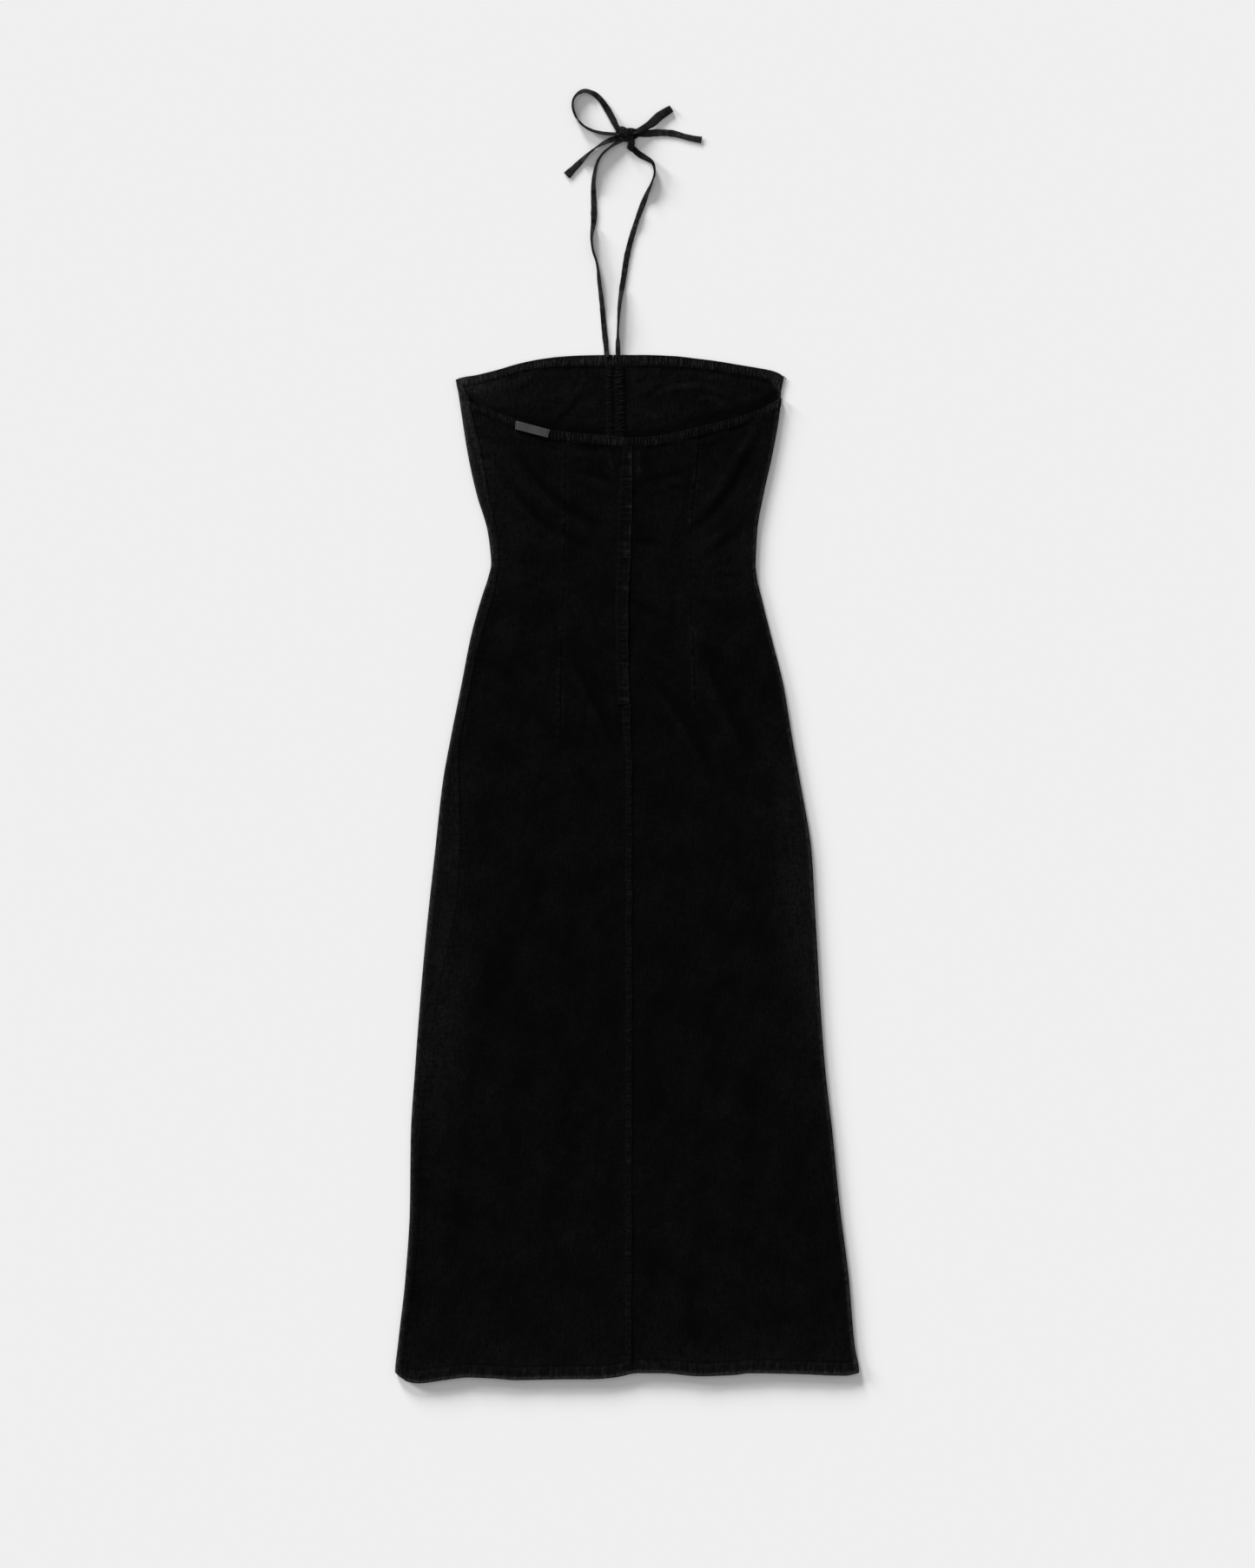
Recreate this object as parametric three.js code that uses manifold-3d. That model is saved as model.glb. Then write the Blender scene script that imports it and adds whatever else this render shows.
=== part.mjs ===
// Halter dress laid flat with its back side up, in millimetres.
// X runs to the right as the dress lies, Y towards the neck and Z up from the surface.
// The origin is on the surface, in the middle of the dress without its ties.

import * as THREE from 'three';
import { mergeVertices } from 'three/addons/utils/BufferGeometryUtils.js';
import Module from 'manifold-3d';

const wasm = await Module();
wasm.setup();

// Cloth
const CLOTH = 1.2;
const HEM_CLOTH = 2.4;
const GAP = 0.3;
const SEAM_HALF_GAP = 0.15;
const HIDDEN_SEAM_HALF_GAP = 0.4;

// Layers at the folded sides
const FOLD_RADIUS = 2.2;
const HEM_FOLD_RADIUS = 2.7;
const LOFT = 1.1;
const LOFT_REACH = 55;

// Hem, bindings, casing and lap
const HEM_BAND = 15;
const HEM_EASE = 5;
const BINDING_RELIEF = 0.5;
const BINDING_PUCKER = 0.45;
const PUCKER_PITCH = 4.7;
const BINDING_SEAM = 0.5;
const CASING_LENGTH = 150;
const CASING_WAVES = 22;
const CASING_PUCKER = 0.35;
const LAP_WIDTH = 17.8;
const LAP_END = 194;
const LAP_WAVES = 20;
const LAP_PUCKER = 0.3;
const RIDGE_HALF_WIDTH = 4.2;
const RIDGE_HEIGHT = 0.6;
const RIDGE_SHOULDER = 1;
const DART_DEPTH = 0.5;
const DART_END = 150;
const LABEL_CLOTH = 0.9;

// Ties
const TIE_WIDTH = 6;
const TIE_THICKNESS = 1.4;
const PRESSED_LOOP_WIDTH = 8.5;
const PRESSED_LOOP_THICKNESS = 2.6;
const TIE_STEP = 13;

// Folded sides of the dress, and how far the side seams lie in from them: the left one on
// top, the right one underneath.
const SIDES = [
  { y: -610, left: -275, right: 275, seamOnTop: 9.3, seamUnder: 11 },
  { y: -597, left: -275, right: 275, seamOnTop: 9.3, seamUnder: 11 },
  { y: -566, left: -271.9, right: 269.9, seamOnTop: 9.3, seamUnder: 11 },
  { y: -483.6, left: -262.7, right: 262.7, seamOnTop: 10.3, seamUnder: 11 },
  { y: -401.2, left: -257.5, right: 252.3, seamOnTop: 11.3, seamUnder: 12 },
  { y: -318.8, left: -256.5, right: 244.1, seamOnTop: 12.4, seamUnder: 12 },
  { y: -236.4, left: -251.3, right: 234.8, seamOnTop: 15, seamUnder: 13 },
  { y: -154, left: -245.1, right: 228.7, seamOnTop: 21, seamUnder: 13 },
  { y: -95.3, left: -240, right: 225.5, seamOnTop: 27.8, seamUnder: 14 },
  { y: -43.8, left: -234.8, right: 222.5, seamOnTop: 33, seamUnder: 14 },
  { y: 18, left: -228, right: 218.9, seamOnTop: 30.9, seamUnder: 14 },
  { y: 103.5, left: -218.4, right: 205, seamOnTop: 20.6, seamUnder: 13 },
  { y: 155, left: -209.1, right: 195.7, seamOnTop: 12.4, seamUnder: 13 },
  { y: 216.8, left: -196.7, right: 185.4, seamOnTop: 12.4, seamUnder: 12 },
  { y: 278.6, left: -184.4, right: 170, seamOnTop: 13.5, seamUnder: 12 },
  { y: 319.8, left: -173, right: 159.7, seamOnTop: 15, seamUnder: 12 },
  { y: 346, left: -164.5, right: 153.8, seamOnTop: 11, seamUnder: 11 },
  { y: 361, left: -161.2, right: 152.4, seamOnTop: 10.3, seamUnder: 11 },
  { y: 381.6, left: -162.7, right: 153.2, seamOnTop: 11, seamUnder: 11 },
  { y: 402.2, left: -165.8, right: 154.5, seamOnTop: 11.3, seamUnder: 11 },
  { y: 443.4, left: -178.2, right: 161.7, seamOnTop: 15.5, seamUnder: 10 },
  { y: 489.8, left: -188.5, right: 172, seamOnTop: 17.5, seamUnder: 8 },
  { y: 541.3, left: -196.7, right: 181, seamOnTop: 12.8, seamUnder: 4.5 },
  { y: 561.5, left: -199.7, right: 182.9, seamOnTop: 14.2, seamUnder: 3.3 },
  { y: 563, left: -200, right: 182.8, seamOnTop: 14.2, seamUnder: 0.5 },
  { y: 571, left: -201.3, right: 183.2, seamOnTop: 14.2, seamUnder: 0 },
  { y: 581, left: -202.9, right: 186, seamOnTop: 14.2, seamUnder: 0 },
  { y: 610, left: -205, right: 188, seamOnTop: 14.2, seamUnder: 0 },
];

// Lower edge, the same on the front and the back
const HEM_LINE = [
  { x: -275, y: -597.9 }, { x: -267, y: -604 }, { x: -259, y: -608.6 }, { x: -247, y: -610 },
  { x: -217.3, y: -606.2 }, { x: -188.5, y: -603.1 }, { x: -159.7, y: -604.1 },
  { x: -130.8, y: -606.2 }, { x: -73.1, y: -605.1 }, { x: -44.3, y: -605.1 },
  { x: -15.5, y: -603.1 }, { x: 13.4, y: -597.9 }, { x: 42.2, y: -597.9 }, { x: 85, y: -601.5 },
  { x: 128.8, y: -600 }, { x: 143.2, y: -597.9 }, { x: 200.8, y: -598.9 }, { x: 258.5, y: -601 },
  { x: 275, y: -597.9 },
];

// Upper edge of the front, and where it runs down over the left fold to the side seam
const FRONT_NECK = [
  { x: -202.9, y: 580 }, { x: -198, y: 582 }, { x: -178.2, y: 585.6 }, { x: -153.5, y: 591.7 },
  { x: -128.8, y: 598.9 }, { x: -104, y: 604.1 }, { x: -79.3, y: 607.2 }, { x: -54.6, y: 608.7 },
  { x: -16.5, y: 609.3 }, { x: 19.6, y: 609.3 }, { x: 56.6, y: 607.9 }, { x: 81.4, y: 605.1 },
  { x: 106.1, y: 602 }, { x: 130.8, y: 597.9 }, { x: 155.5, y: 593.8 }, { x: 172, y: 590.5 },
  { x: 180.2, y: 587.4 }, { x: 186.4, y: 583 },
];
const WRAPPED_NECK = [
  { x: -202.9, y: 579 }, { x: -196.2, y: 574.2 }, { x: -191.9, y: 565 }, { x: -184.4, y: 553.2 },
];

// Upper edge of the back
const BACK_NECK = [
  { x: -184.4, y: 553.2 }, { x: -172, y: 549.5 }, { x: -156.6, y: 542.3 }, { x: -133.9, y: 534.1 },
  { x: -87.6, y: 519.6 }, { x: -16.5, y: 512.8 }, { x: 6.2, y: 510.9 }, { x: 30.9, y: 512.4 },
  { x: 80.3, y: 522.7 }, { x: 154.5, y: 543.3 }, { x: 172, y: 552.6 }, { x: 183.9, y: 558.8 },
];

// Seams and darts that run down the dress
const LINES = [
  { y: -610, frontSeam: 0, backSeam: 2.1, leftDart: -92, rightDart: 98 },
  { y: 0, frontSeam: -4, backSeam: 2.6, leftDart: -82, rightDart: 86 },
  { y: 155, frontSeam: -7, backSeam: 2.6, leftDart: -78.3, rightDart: 82 },
  { y: 250, frontSeam: -9, backSeam: 2.8, leftDart: -77.4, rightDart: 80.3 },
  { y: 330, frontSeam: -11, backSeam: 3.3, leftDart: -74.4, rightDart: 76.6 },
  { y: 412, frontSeam: -13, backSeam: 4.1, leftDart: -72.6, rightDart: 77.8 },
  { y: 500, frontSeam: -15, backSeam: 6, leftDart: -72.1, rightDart: 86 },
  { y: 610, frontSeam: -16.5, backSeam: 6.2, leftDart: -72, rightDart: 90 },
];

// Widths of the neck bindings, measured down the dress
const BINDING_WIDTHS = [
  { x: -203, front: 12, back: 12 },
  { x: -150, front: 10.5, back: 12 },
  { x: -16, front: 14.2, back: 12.2 },
  { x: 120, front: 12, back: 12 },
  { x: 165, front: 12, back: 11.5 },
  { x: 187, front: 22.5, back: 11.5 },
];

// Largest folds: a trough from one end through a middle point to the other end, with a soft
// ridge beside it
const BACK_FOLDS = [
  { fromX: -136, fromY: 507, midX: -84.5, midY: 438, toX: -12.4, toY: 400, width: 9, depth: 1.4 },
  { fromX: -167, fromY: 495, midX: -112, midY: 424, toX: -62, toY: 384, width: 9, depth: 1.1 },
  { fromX: -152, fromY: 446, midX: -130, midY: 420, toX: -108, toY: 398, width: 8, depth: 0.7 },
  { fromX: 163, fromY: 526, midX: 116, midY: 440, toX: 72, toY: 400, width: 10, depth: 1.4 },
  { fromX: 145, fromY: 409, midX: 116, midY: 385, toX: 86, toY: 366, width: 8, depth: 0.7 },
  { fromX: -62, fromY: 471, midX: -33, midY: 464, toX: -8, toY: 452, width: 6, depth: 0.9 },
  { fromX: 14, fromY: 452, midX: 40, midY: 462, toX: 70, toY: 470, width: 6, depth: 0.9 },
  { fromX: -70, fromY: 500, midX: -45, midY: 497, toX: -22, toY: 492, width: 6, depth: 1 },
  { fromX: 6, fromY: 388, midX: 27, midY: 386, toX: 47, toY: 384, width: 7, depth: 0.6 },
  { fromX: 4, fromY: 319, midX: 30, midY: 304, toX: 58, toY: 291, width: 10, depth: 0.7 },
  { fromX: -66, fromY: 256, midX: -38, midY: 205, toX: -6, toY: 132, width: 9, depth: 1.5 },
  { fromX: 31, fromY: 222, midX: 72, midY: 175, toX: 106, toY: 98, width: 10, depth: 1.3 },
  { fromX: 86, fromY: 276, midX: 122, midY: 200, toX: 154, toY: 112, width: 15, depth: 1.5 },
  { fromX: -60, fromY: 126, midX: -42, midY: 96, toX: -24, toY: 66, width: 12, depth: 0.7 },
  { fromX: 125, fromY: 34, midX: 178, midY: -100, toX: 222, toY: -265, width: 22, depth: 1.2 },
  { fromX: -142, fromY: -40, midX: -150, midY: -150, toX: -190, toY: -280, width: 26, depth: 1 },
];
const FRONT_FOLDS = [
  { fromX: -43, fromY: 571, midX: -62, midY: 549, toX: -84, toY: 534, width: 6, depth: -0.9 },
  { fromX: -150, fromY: 562, midX: -122, midY: 580, toX: -98, toY: 594, width: 7, depth: -0.7 },
  { fromX: 3, fromY: 556, midX: 63, midY: 571, toX: 138, toY: 543, width: 8, depth: -1 },
  { fromX: 60, fromY: 577, midX: 100, midY: 582, toX: 150, toY: 566, width: 7, depth: -0.6 },
];
const RIDGE_SHARE = 0.55;
const RIDGE_OFFSET = 1.7;
const FRONT_FOLD_FLOOR = 507;
const FRONT_FOLD_FADE = 25;
const CASING_CLEAR = 26;

// Casing across its two channels, from the centre front seam
const CASING_PROFILE = [
  { across: -10, thickness: 0.9, gathers: 0 },
  { across: -5, thickness: 1.7, gathers: 1 },
  { across: 0, thickness: 1, gathers: 0.5 },
  { across: 7, thickness: 1.7, gathers: 1 },
  { across: 14.5, thickness: 0.9, gathers: 0 },
];

// Corners of the label on the back binding
const LABEL = {
  upperLeft: { x: -132, y: 531.4 },
  upperRight: { x: -91.7, y: 520.2 },
  lowerLeft: { x: -132.3, y: 522 },
  lowerRight: { x: -94.2, y: 511.4 },
};

// Routes of the ties, each a list of points on the middle of the tie
const TIES = [
  {
    name: 'tie_left',
    points: [
      [-24.2, 609.9, 0.8], [-25.2, 622, 0.8], [-26.8, 636, 0.8], [-29.9, 670, 0.8],
      [-33, 695.8, 0.8], [-35.5, 716.4, 0.8], [-40.6, 733.9, 0.8], [-42, 749, 0.8],
      [-39.6, 768, 0.8], [-39.4, 788.5, 0.8], [-39.8, 814.2, 0.8], [-36.1, 834.8, 0.8],
      [-29.9, 846.5, 0.8], [-19.6, 855.8, 0.8], [-8, 863, 0.8], [2, 869, 0.8],
    ],
  },
  {
    name: 'tie_right',
    points: [
      [-10.8, 609.9, 0.8], [-11, 622, 0.8], [-10.8, 640, 0.8], [-8.8, 670, 0.8],
      [-4.1, 700.9, 0.8], [1, 731.8, 0.8], [10.3, 764.8, 0.8], [21.6, 795.7, 0.8],
      [28.8, 812.2, 0.8], [32.6, 824.5, 0.8], [30.9, 835.8, 0.8], [23.7, 842, 0.8],
      [13.4, 848, 1.2], [4.1, 857, 1.8],
    ],
  },
  {
    name: 'bow_loop_open',
    points: [
      [-3, 870, 2.6], [-11.3, 878, 2.6], [-17.5, 890, 1.8], [-23.7, 901, 1],
      [-31.5, 912.1, 0.8], [-39.8, 919.2, 0.8], [-51.5, 922.3, 0.8], [-61.6, 915.6, 0.8],
      [-64.6, 905, 0.8], [-61, 892.4, 0.8], [-53.2, 882.2, 0.8], [-42.6, 875.8, 1],
      [-29, 872.2, 2.6], [-16.5, 871.6, 4.4], [-3, 870.5, 4.4],
    ],
  },
  {
    name: 'bow_loop_flat',
    width: PRESSED_LOOP_WIDTH,
    thickness: PRESSED_LOOP_THICKNESS,
    points: [
      [2, 871, 3.9], [11, 874.2, 3.9], [20, 878, 3.8], [28.8, 883.6, 2.6], [39.1, 892.5, 1.5],
      [51.5, 899.7, 1.4],
    ],
  },
  {
    name: 'tie_end_right',
    points: [
      [2, 870.5, 1], [12, 871.2, 0.9], [23.7, 871.9, 0.8], [39.1, 872.9, 0.8],
      [54.6, 871.9, 0.8], [70, 867.8, 0.8], [86.5, 863.7, 0.8],
    ],
  },
  {
    name: 'tie_end_left',
    points: [
      [-2, 868, 2.6], [-12.4, 865.9, 2.6], [-24.7, 861.8, 2.4], [-37.1, 854.6, 1.4],
      [-47.4, 846.1, 0.8], [-58.7, 834.8, 0.8], [-69, 823.5, 0.8],
    ],
  },
];

// Lumps that the knot is made of
const KNOT_LUMPS = [
  { centre: [1, 869.6, 3.5], radii: [12, 7, 3.4], turn: 0 },
  { centre: [3.6, 861.5, 2.7], radii: [4.8, 8.5, 2.6], turn: -0.25 },
];
const KNOT_SLICES = 16;
const KNOT_STACKS = 8;

// Rows from the hem up: the turned hem, the skirt and then the folded upper part
const HEM_ROWS = [
  { rise: 0, cloth: HEM_CLOTH, radius: HEM_FOLD_RADIUS },
  { rise: HEM_BAND - 1, cloth: HEM_CLOTH, radius: HEM_FOLD_RADIUS },
  { rise: HEM_BAND, cloth: CLOTH, radius: HEM_FOLD_RADIUS - 0.2 },
  { rise: HEM_BAND + HEM_EASE, cloth: CLOTH, radius: FOLD_RADIUS },
];
const SKIRT_ROWS = 8;
const SKIRT_SHARE = 0.56;
const UPPER_ROWS = 22;

const ARC_ANGLES = [90, 135, 180, 225, 270];
const NECK_SEARCH_STEPS = 8;

function lookUp(table, key, at, column) {
  // Straight between the rows of a table
  let i = 1;
  while (i < table.length - 1 && table[i][key] < at) i++;
  const low = table[i - 1];
  const high = table[i];
  const share = THREE.MathUtils.clamp((at - low[key]) / (high[key] - low[key]), 0, 1);
  return low[column] + share * (high[column] - low[column]);
}

const side = (y, column) => lookUp(SIDES, 'y', y, column);
const line = (y, column) => lookUp(LINES, 'y', y, column);
const leftFold = (y) => side(y, 'left');
const rightFold = (y) => side(y, 'right');
const leftSeam = (y) => leftFold(y) + side(y, 'seamOnTop');
const rightSeam = (y) => rightFold(y) - side(y, 'seamUnder');
const frontSeam = (y) => line(y, 'frontSeam');
const backSeam = (y) => line(y, 'backSeam');

function foldHeight(folds, x, y) {
  // Depth of all the troughs at a point, with the ridge beside each
  let height = 0;
  for (const fold of folds) {
    const legs = [
      [fold.fromX, fold.fromY, fold.midX, fold.midY, 0],
      [fold.midX, fold.midY, fold.toX, fold.toY, 0.5],
    ];
    let nearest = Infinity;
    let value = 0;
    for (const [ax, ay, bx, by, start] of legs) {
      const dx = bx - ax;
      const dy = by - ay;
      const length = Math.hypot(dx, dy);
      const share = THREE.MathUtils.clamp(((x - ax) * dx + (y - ay) * dy) / length ** 2, 0, 1);
      const away = Math.hypot(x - ax - share * dx, y - ay - share * dy);
      if (away >= nearest) continue;
      nearest = away;
      const signed = ((x - ax) * dy - (y - ay) * dx) / length;
      const taper = Math.sin(Math.PI * THREE.MathUtils.clamp(start + share / 2, 0.04, 0.96)) ** 0.7;
      const trough = Math.exp(-((away / fold.width) ** 2));
      const ridge = Math.exp(-((signed / fold.width - RIDGE_OFFSET) ** 2)) * Number(away < 4 * fold.width);
      value = fold.depth * taper * (RIDGE_SHARE * ridge - trough);
    }
    height += value;
  }
  return height;
}

function topHeight(x, y, radius) {
  // Outer height of the upper layer
  const inside = Math.min(x - leftFold(y), rightFold(y) - x) - radius;
  const inward = THREE.MathUtils.smoothstep(inside, 0, LOFT_REACH);
  const soft = THREE.MathUtils.smoothstep(inside, 0, LOFT_REACH / 3);
  const casing = THREE.MathUtils.smoothstep(y, 420, 450) * Number(Math.abs(x - frontSeam(y)) < CASING_CLEAR);
  const lowest = 2 * FOLD_RADIUS - LOFT + casing * LOFT;
  const height = 2 * radius + LOFT * inward + soft * foldHeight(BACK_FOLDS, x, y);
  return Math.max(height, lowest);
}

function underRelief(x, y) {
  // Folds that stand on the inside of the front, above the back neckline and off the casing
  const above = THREE.MathUtils.smoothstep(y, FRONT_FOLD_FLOOR, FRONT_FOLD_FLOOR + FRONT_FOLD_FADE);
  const offCasing = THREE.MathUtils.smoothstep(Math.abs(x - frontSeam(y)), CASING_CLEAR, 2 * CASING_CLEAR);
  return above * offCasing * Math.max(0, foldHeight(FRONT_FOLDS, x, y));
}

function under(x, options = {}) {
  return { layer: 'under', x, relief: options.relief ?? 0, neck: FRONT_NECK, ...options };
}

function over(x, options = {}) {
  return { layer: 'over', x, relief: options.relief ?? 0, neck: BACK_NECK, ...options };
}

function arc(angle, fold, neck) {
  return { layer: 'arc', angle, fold, x: fold === 'left' ? leftFold : rightFold, relief: 0, neck };
}

function placed(column, y, cloth, radius) {
  // Outer and inner point of a column at one height on the dress
  if (column.layer === 'arc') {
    const turn = THREE.MathUtils.degToRad(column.angle);
    const left = column.fold === 'left';
    const centre = left ? leftFold(y) + radius : rightFold(y) - radius;
    const across = left ? Math.cos(turn) : -Math.cos(turn);
    const inner = radius - cloth;
    return {
      outer: [centre + radius * across, y, radius + radius * Math.sin(turn)],
      inner: [centre + inner * across, y, radius + inner * Math.sin(turn)],
    };
  }
  const x = column.x(y, radius);
  if (column.layer === 'under') {
    return { outer: [x, y, 0], inner: [x, y, cloth + underRelief(x, y) + column.relief] };
  }
  const z = topHeight(x, y, radius);
  const raise = column.raise ? column.raise(y) : 0;
  return { outer: [x, y, z + column.relief + raise], inner: [x, y, z - cloth] };
}

function neckOf(column, radius) {
  // Height where a column meets its neck edge
  let y = column.neck[0].y;
  for (let i = 0; i < NECK_SEARCH_STEPS; i++) y = lookUp(column.neck, 'x', column.x(y, radius), 'y');
  return y;
}

function hemOf(column) {
  const y = HEM_LINE[0].y;
  return lookUp(HEM_LINE, 'x', column.x(y, HEM_FOLD_RADIUS), 'y');
}

function bindingWidth(column) {
  const name = column.neck === BACK_NECK ? 'back' : 'front';
  return lookUp(BINDING_WIDTHS, 'x', column.x(column.neck[0].y, FOLD_RADIUS), name);
}

function panelTopOf(column) {
  return neckOf(column, FOLD_RADIUS) - bindingWidth(column) - BINDING_SEAM;
}

function closedSheet(outer, inner) {
  // One closed wall between an outer and an inner grid of points, faces outwards
  const rows = outer.length;
  const columns = outer[0].length;
  const positions = [...outer.flat(), ...inner.flat()].flat();
  const index = [];
  const at = (row, column, grid) => grid * rows * columns + row * columns + column;
  const quad = (a, b, c, d) => index.push(a, b, c, a, c, d);
  for (let r = 0; r < rows - 1; r++) {
    for (let c = 0; c < columns - 1; c++) {
      // Each pair of triangles meets along the diagonal that follows a fold
      const rise = Math.abs(outer[r][c][2] - outer[r + 1][c + 1][2]);
      const fall = Math.abs(outer[r][c + 1][2] - outer[r + 1][c][2]);
      const corners = [[r, c], [r, c + 1], [r + 1, c + 1], [r + 1, c]];
      if (fall < rise) corners.push(corners.shift());
      const [a, b, d, e] = corners.map(([row, column]) => at(row, column, 0));
      quad(a, b, d, e);
      const [f, g, h, i] = corners.map(([row, column]) => at(row, column, 1));
      index.push(f, h, g, f, i, h);
    }
  }
  for (let c = 0; c < columns - 1; c++) {
    quad(at(0, c + 1, 0), at(0, c, 0), at(0, c, 1), at(0, c + 1, 1));
    quad(at(rows - 1, c, 0), at(rows - 1, c + 1, 0), at(rows - 1, c + 1, 1), at(rows - 1, c, 1));
  }
  for (let r = 0; r < rows - 1; r++) {
    quad(at(r, 0, 0), at(r + 1, 0, 0), at(r + 1, 0, 1), at(r, 0, 1));
    quad(at(r + 1, columns - 1, 0), at(r, columns - 1, 0), at(r, columns - 1, 1), at(r + 1, columns - 1, 1));
  }
  if (signedVolume(positions, index) < 0) {
    for (let i = 0; i < index.length; i += 3) [index[i], index[i + 1]] = [index[i + 1], index[i]];
  }
  const geometry = new THREE.BufferGeometry();
  geometry.setAttribute('position', new THREE.Float32BufferAttribute(positions, 3));
  geometry.setIndex(index);
  geometry.computeVertexNormals();
  return geometry;
}

function signedVolume(positions, index) {
  const corner = (i) => new THREE.Vector3().fromArray(positions, 3 * index[i]);
  let total = 0;
  for (let i = 0; i < index.length; i += 3) {
    total += corner(i).dot(corner(i + 1).cross(corner(i + 2)));
  }
  return total / 6;
}

function panel(columns) {
  // Wall of a panel from the hem to just below its binding
  const rows = [...HEM_ROWS];
  for (let i = 1; i <= SKIRT_ROWS; i++) rows.push({ share: (SKIRT_SHARE * i) / SKIRT_ROWS });
  for (let i = 1; i <= UPPER_ROWS; i++) {
    rows.push({ share: SKIRT_SHARE + ((1 - SKIRT_SHARE) * i) / UPPER_ROWS });
  }
  const grids = { outer: [], inner: [] };
  for (const row of rows) {
    const cloth = row.cloth ?? CLOTH;
    const radius = row.radius ?? FOLD_RADIUS;
    const points = columns.map((column) => {
      const hem = hemOf(column);
      const foot = hem + HEM_BAND + HEM_EASE;
      const top = panelTopOf(column);
      const y = row.share === undefined ? hem + row.rise : foot + row.share * (top - foot);
      return placed(column, y, cloth, radius);
    });
    grids.outer.push(points.map((point) => point.outer));
    grids.inner.push(points.map((point) => point.inner));
  }
  return closedSheet(grids.outer, grids.inner);
}

function panelEdge(columns, layer) {
  // Upper edge of a panel on one layer, as points that follow each other along X
  const arcEnd = layer === 'over' ? ARC_ANGLES[0] : ARC_ANGLES.at(-1);
  return columns
    .filter((column) => column.layer === layer || column.angle === arcEnd)
    .map((column) => {
      const y = panelTopOf(column);
      const [x] = placed(column, y, CLOTH, FOLD_RADIUS).outer;
      return { x, y };
    })
    .sort((a, b) => a.x - b.x);
}

function binding(columns, panelColumns) {
  // Strip along a neck edge, down to the edge of the panel that it is sewn to
  const edges = { over: panelEdge(panelColumns, 'over'), under: panelEdge(panelColumns, 'under') };
  const lowerOf = (column) => {
    let y = panelTopOf(column);
    if (column.layer === 'arc') return y + BINDING_SEAM;
    for (let i = 0; i < NECK_SEARCH_STEPS; i++) {
      y = lookUp(edges[column.layer], 'x', column.x(y, FOLD_RADIUS), 'y');
    }
    return y + BINDING_SEAM;
  };
  const grids = { outer: [], inner: [] };
  for (const heightOf of [lowerOf, (column) => neckOf(column, FOLD_RADIUS)]) {
    const points = columns.map((column) => placed(column, heightOf(column), CLOTH, FOLD_RADIUS));
    grids.outer.push(points.map((point) => point.outer));
    grids.inner.push(points.map((point) => point.inner));
  }
  return closedSheet(grids.outer, grids.inner);
}

const between = (from, to, share) => (y, radius) => {
  const start = from(y, radius);
  return start + share * (to(y, radius) - start);
};
const shifted = (run, by) => (y, radius) => run(y, radius) + by;
const leftUnder = (y, radius) => leftFold(y) + radius;
const rightUnder = (y, radius) => rightFold(y) - radius;

function spread(from, to, count, make, options) {
  // Columns at even steps from one line to the next, without the last
  return Array.from({ length: count }, (_, i) => make(between(from, to, i / count), options));
}

function puckered(from, to, length, make, options = {}) {
  // Columns at the crests and troughs of the stitched puckers, without the last
  const count = 2 * Math.round(length / PUCKER_PITCH);
  return Array.from({ length: count }, (_, i) =>
    make(between(from, to, i / count), { ...options, relief: BINDING_RELIEF + (i % 2) * BINDING_PUCKER }));
}

const leftArc = (neck) => ARC_ANGLES.map((angle) => arc(angle, 'left', neck));
const rightArc = (neck) => ARC_ANGLES.map((angle) => arc(angle, 'right', neck));
const dartRaise = (y) => -DART_DEPTH * THREE.MathUtils.smoothstep(y, DART_END, DART_END + 60);
const ridgeRaise = (y) => RIDGE_HEIGHT * (1 - THREE.MathUtils.smoothstep(y, LAP_END, LAP_END + 10));

const frontSeamLeft = shifted(frontSeam, -SEAM_HALF_GAP);
const frontSeamRight = shifted(frontSeam, SEAM_HALF_GAP);
const sideSeamFront = shifted(leftSeam, -SEAM_HALF_GAP);
const sideSeamBack = shifted(leftSeam, SEAM_HALF_GAP);
const underSeamFront = shifted(rightSeam, -HIDDEN_SEAM_HALF_GAP);
const underSeamBack = shifted(rightSeam, HIDDEN_SEAM_HALF_GAP);
const backSeamLeft = shifted(backSeam, -SEAM_HALF_GAP);
const backSeamRight = shifted(backSeam, SEAM_HALF_GAP);
const leftDart = (y) => line(y, 'leftDart');
const rightDart = (y) => line(y, 'rightDart');
const ridgeFootLeft = shifted(backSeam, -RIDGE_HALF_WIDTH - RIDGE_SHOULDER);
const ridgeFootRight = shifted(backSeam, RIDGE_HALF_WIDTH + RIDGE_SHOULDER);
const wrapped = { neck: WRAPPED_NECK };

const frontLeftColumns = [
  over(sideSeamFront, wrapped),
  over(between(sideSeamFront, leftUnder, 0.5), wrapped),
  ...leftArc(WRAPPED_NECK).slice(0, 2),
  ...leftArc(FRONT_NECK).slice(2),
  ...spread(leftUnder, frontSeamLeft, 9, under).slice(1),
  under(frontSeamLeft),
];

const frontRightColumns = [
  ...spread(frontSeamRight, underSeamFront, 9, under),
  under(underSeamFront),
];

const backLeftColumns = [
  ...spread(sideSeamBack, leftDart, 6, over),
  over(leftDart, { raise: dartRaise }),
  ...spread(leftDart, ridgeFootLeft, 5, over).slice(1),
  over(ridgeFootLeft),
  over(shifted(backSeam, -RIDGE_HALF_WIDTH), { raise: ridgeRaise }),
  over(backSeamLeft, { raise: ridgeRaise }),
];

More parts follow.
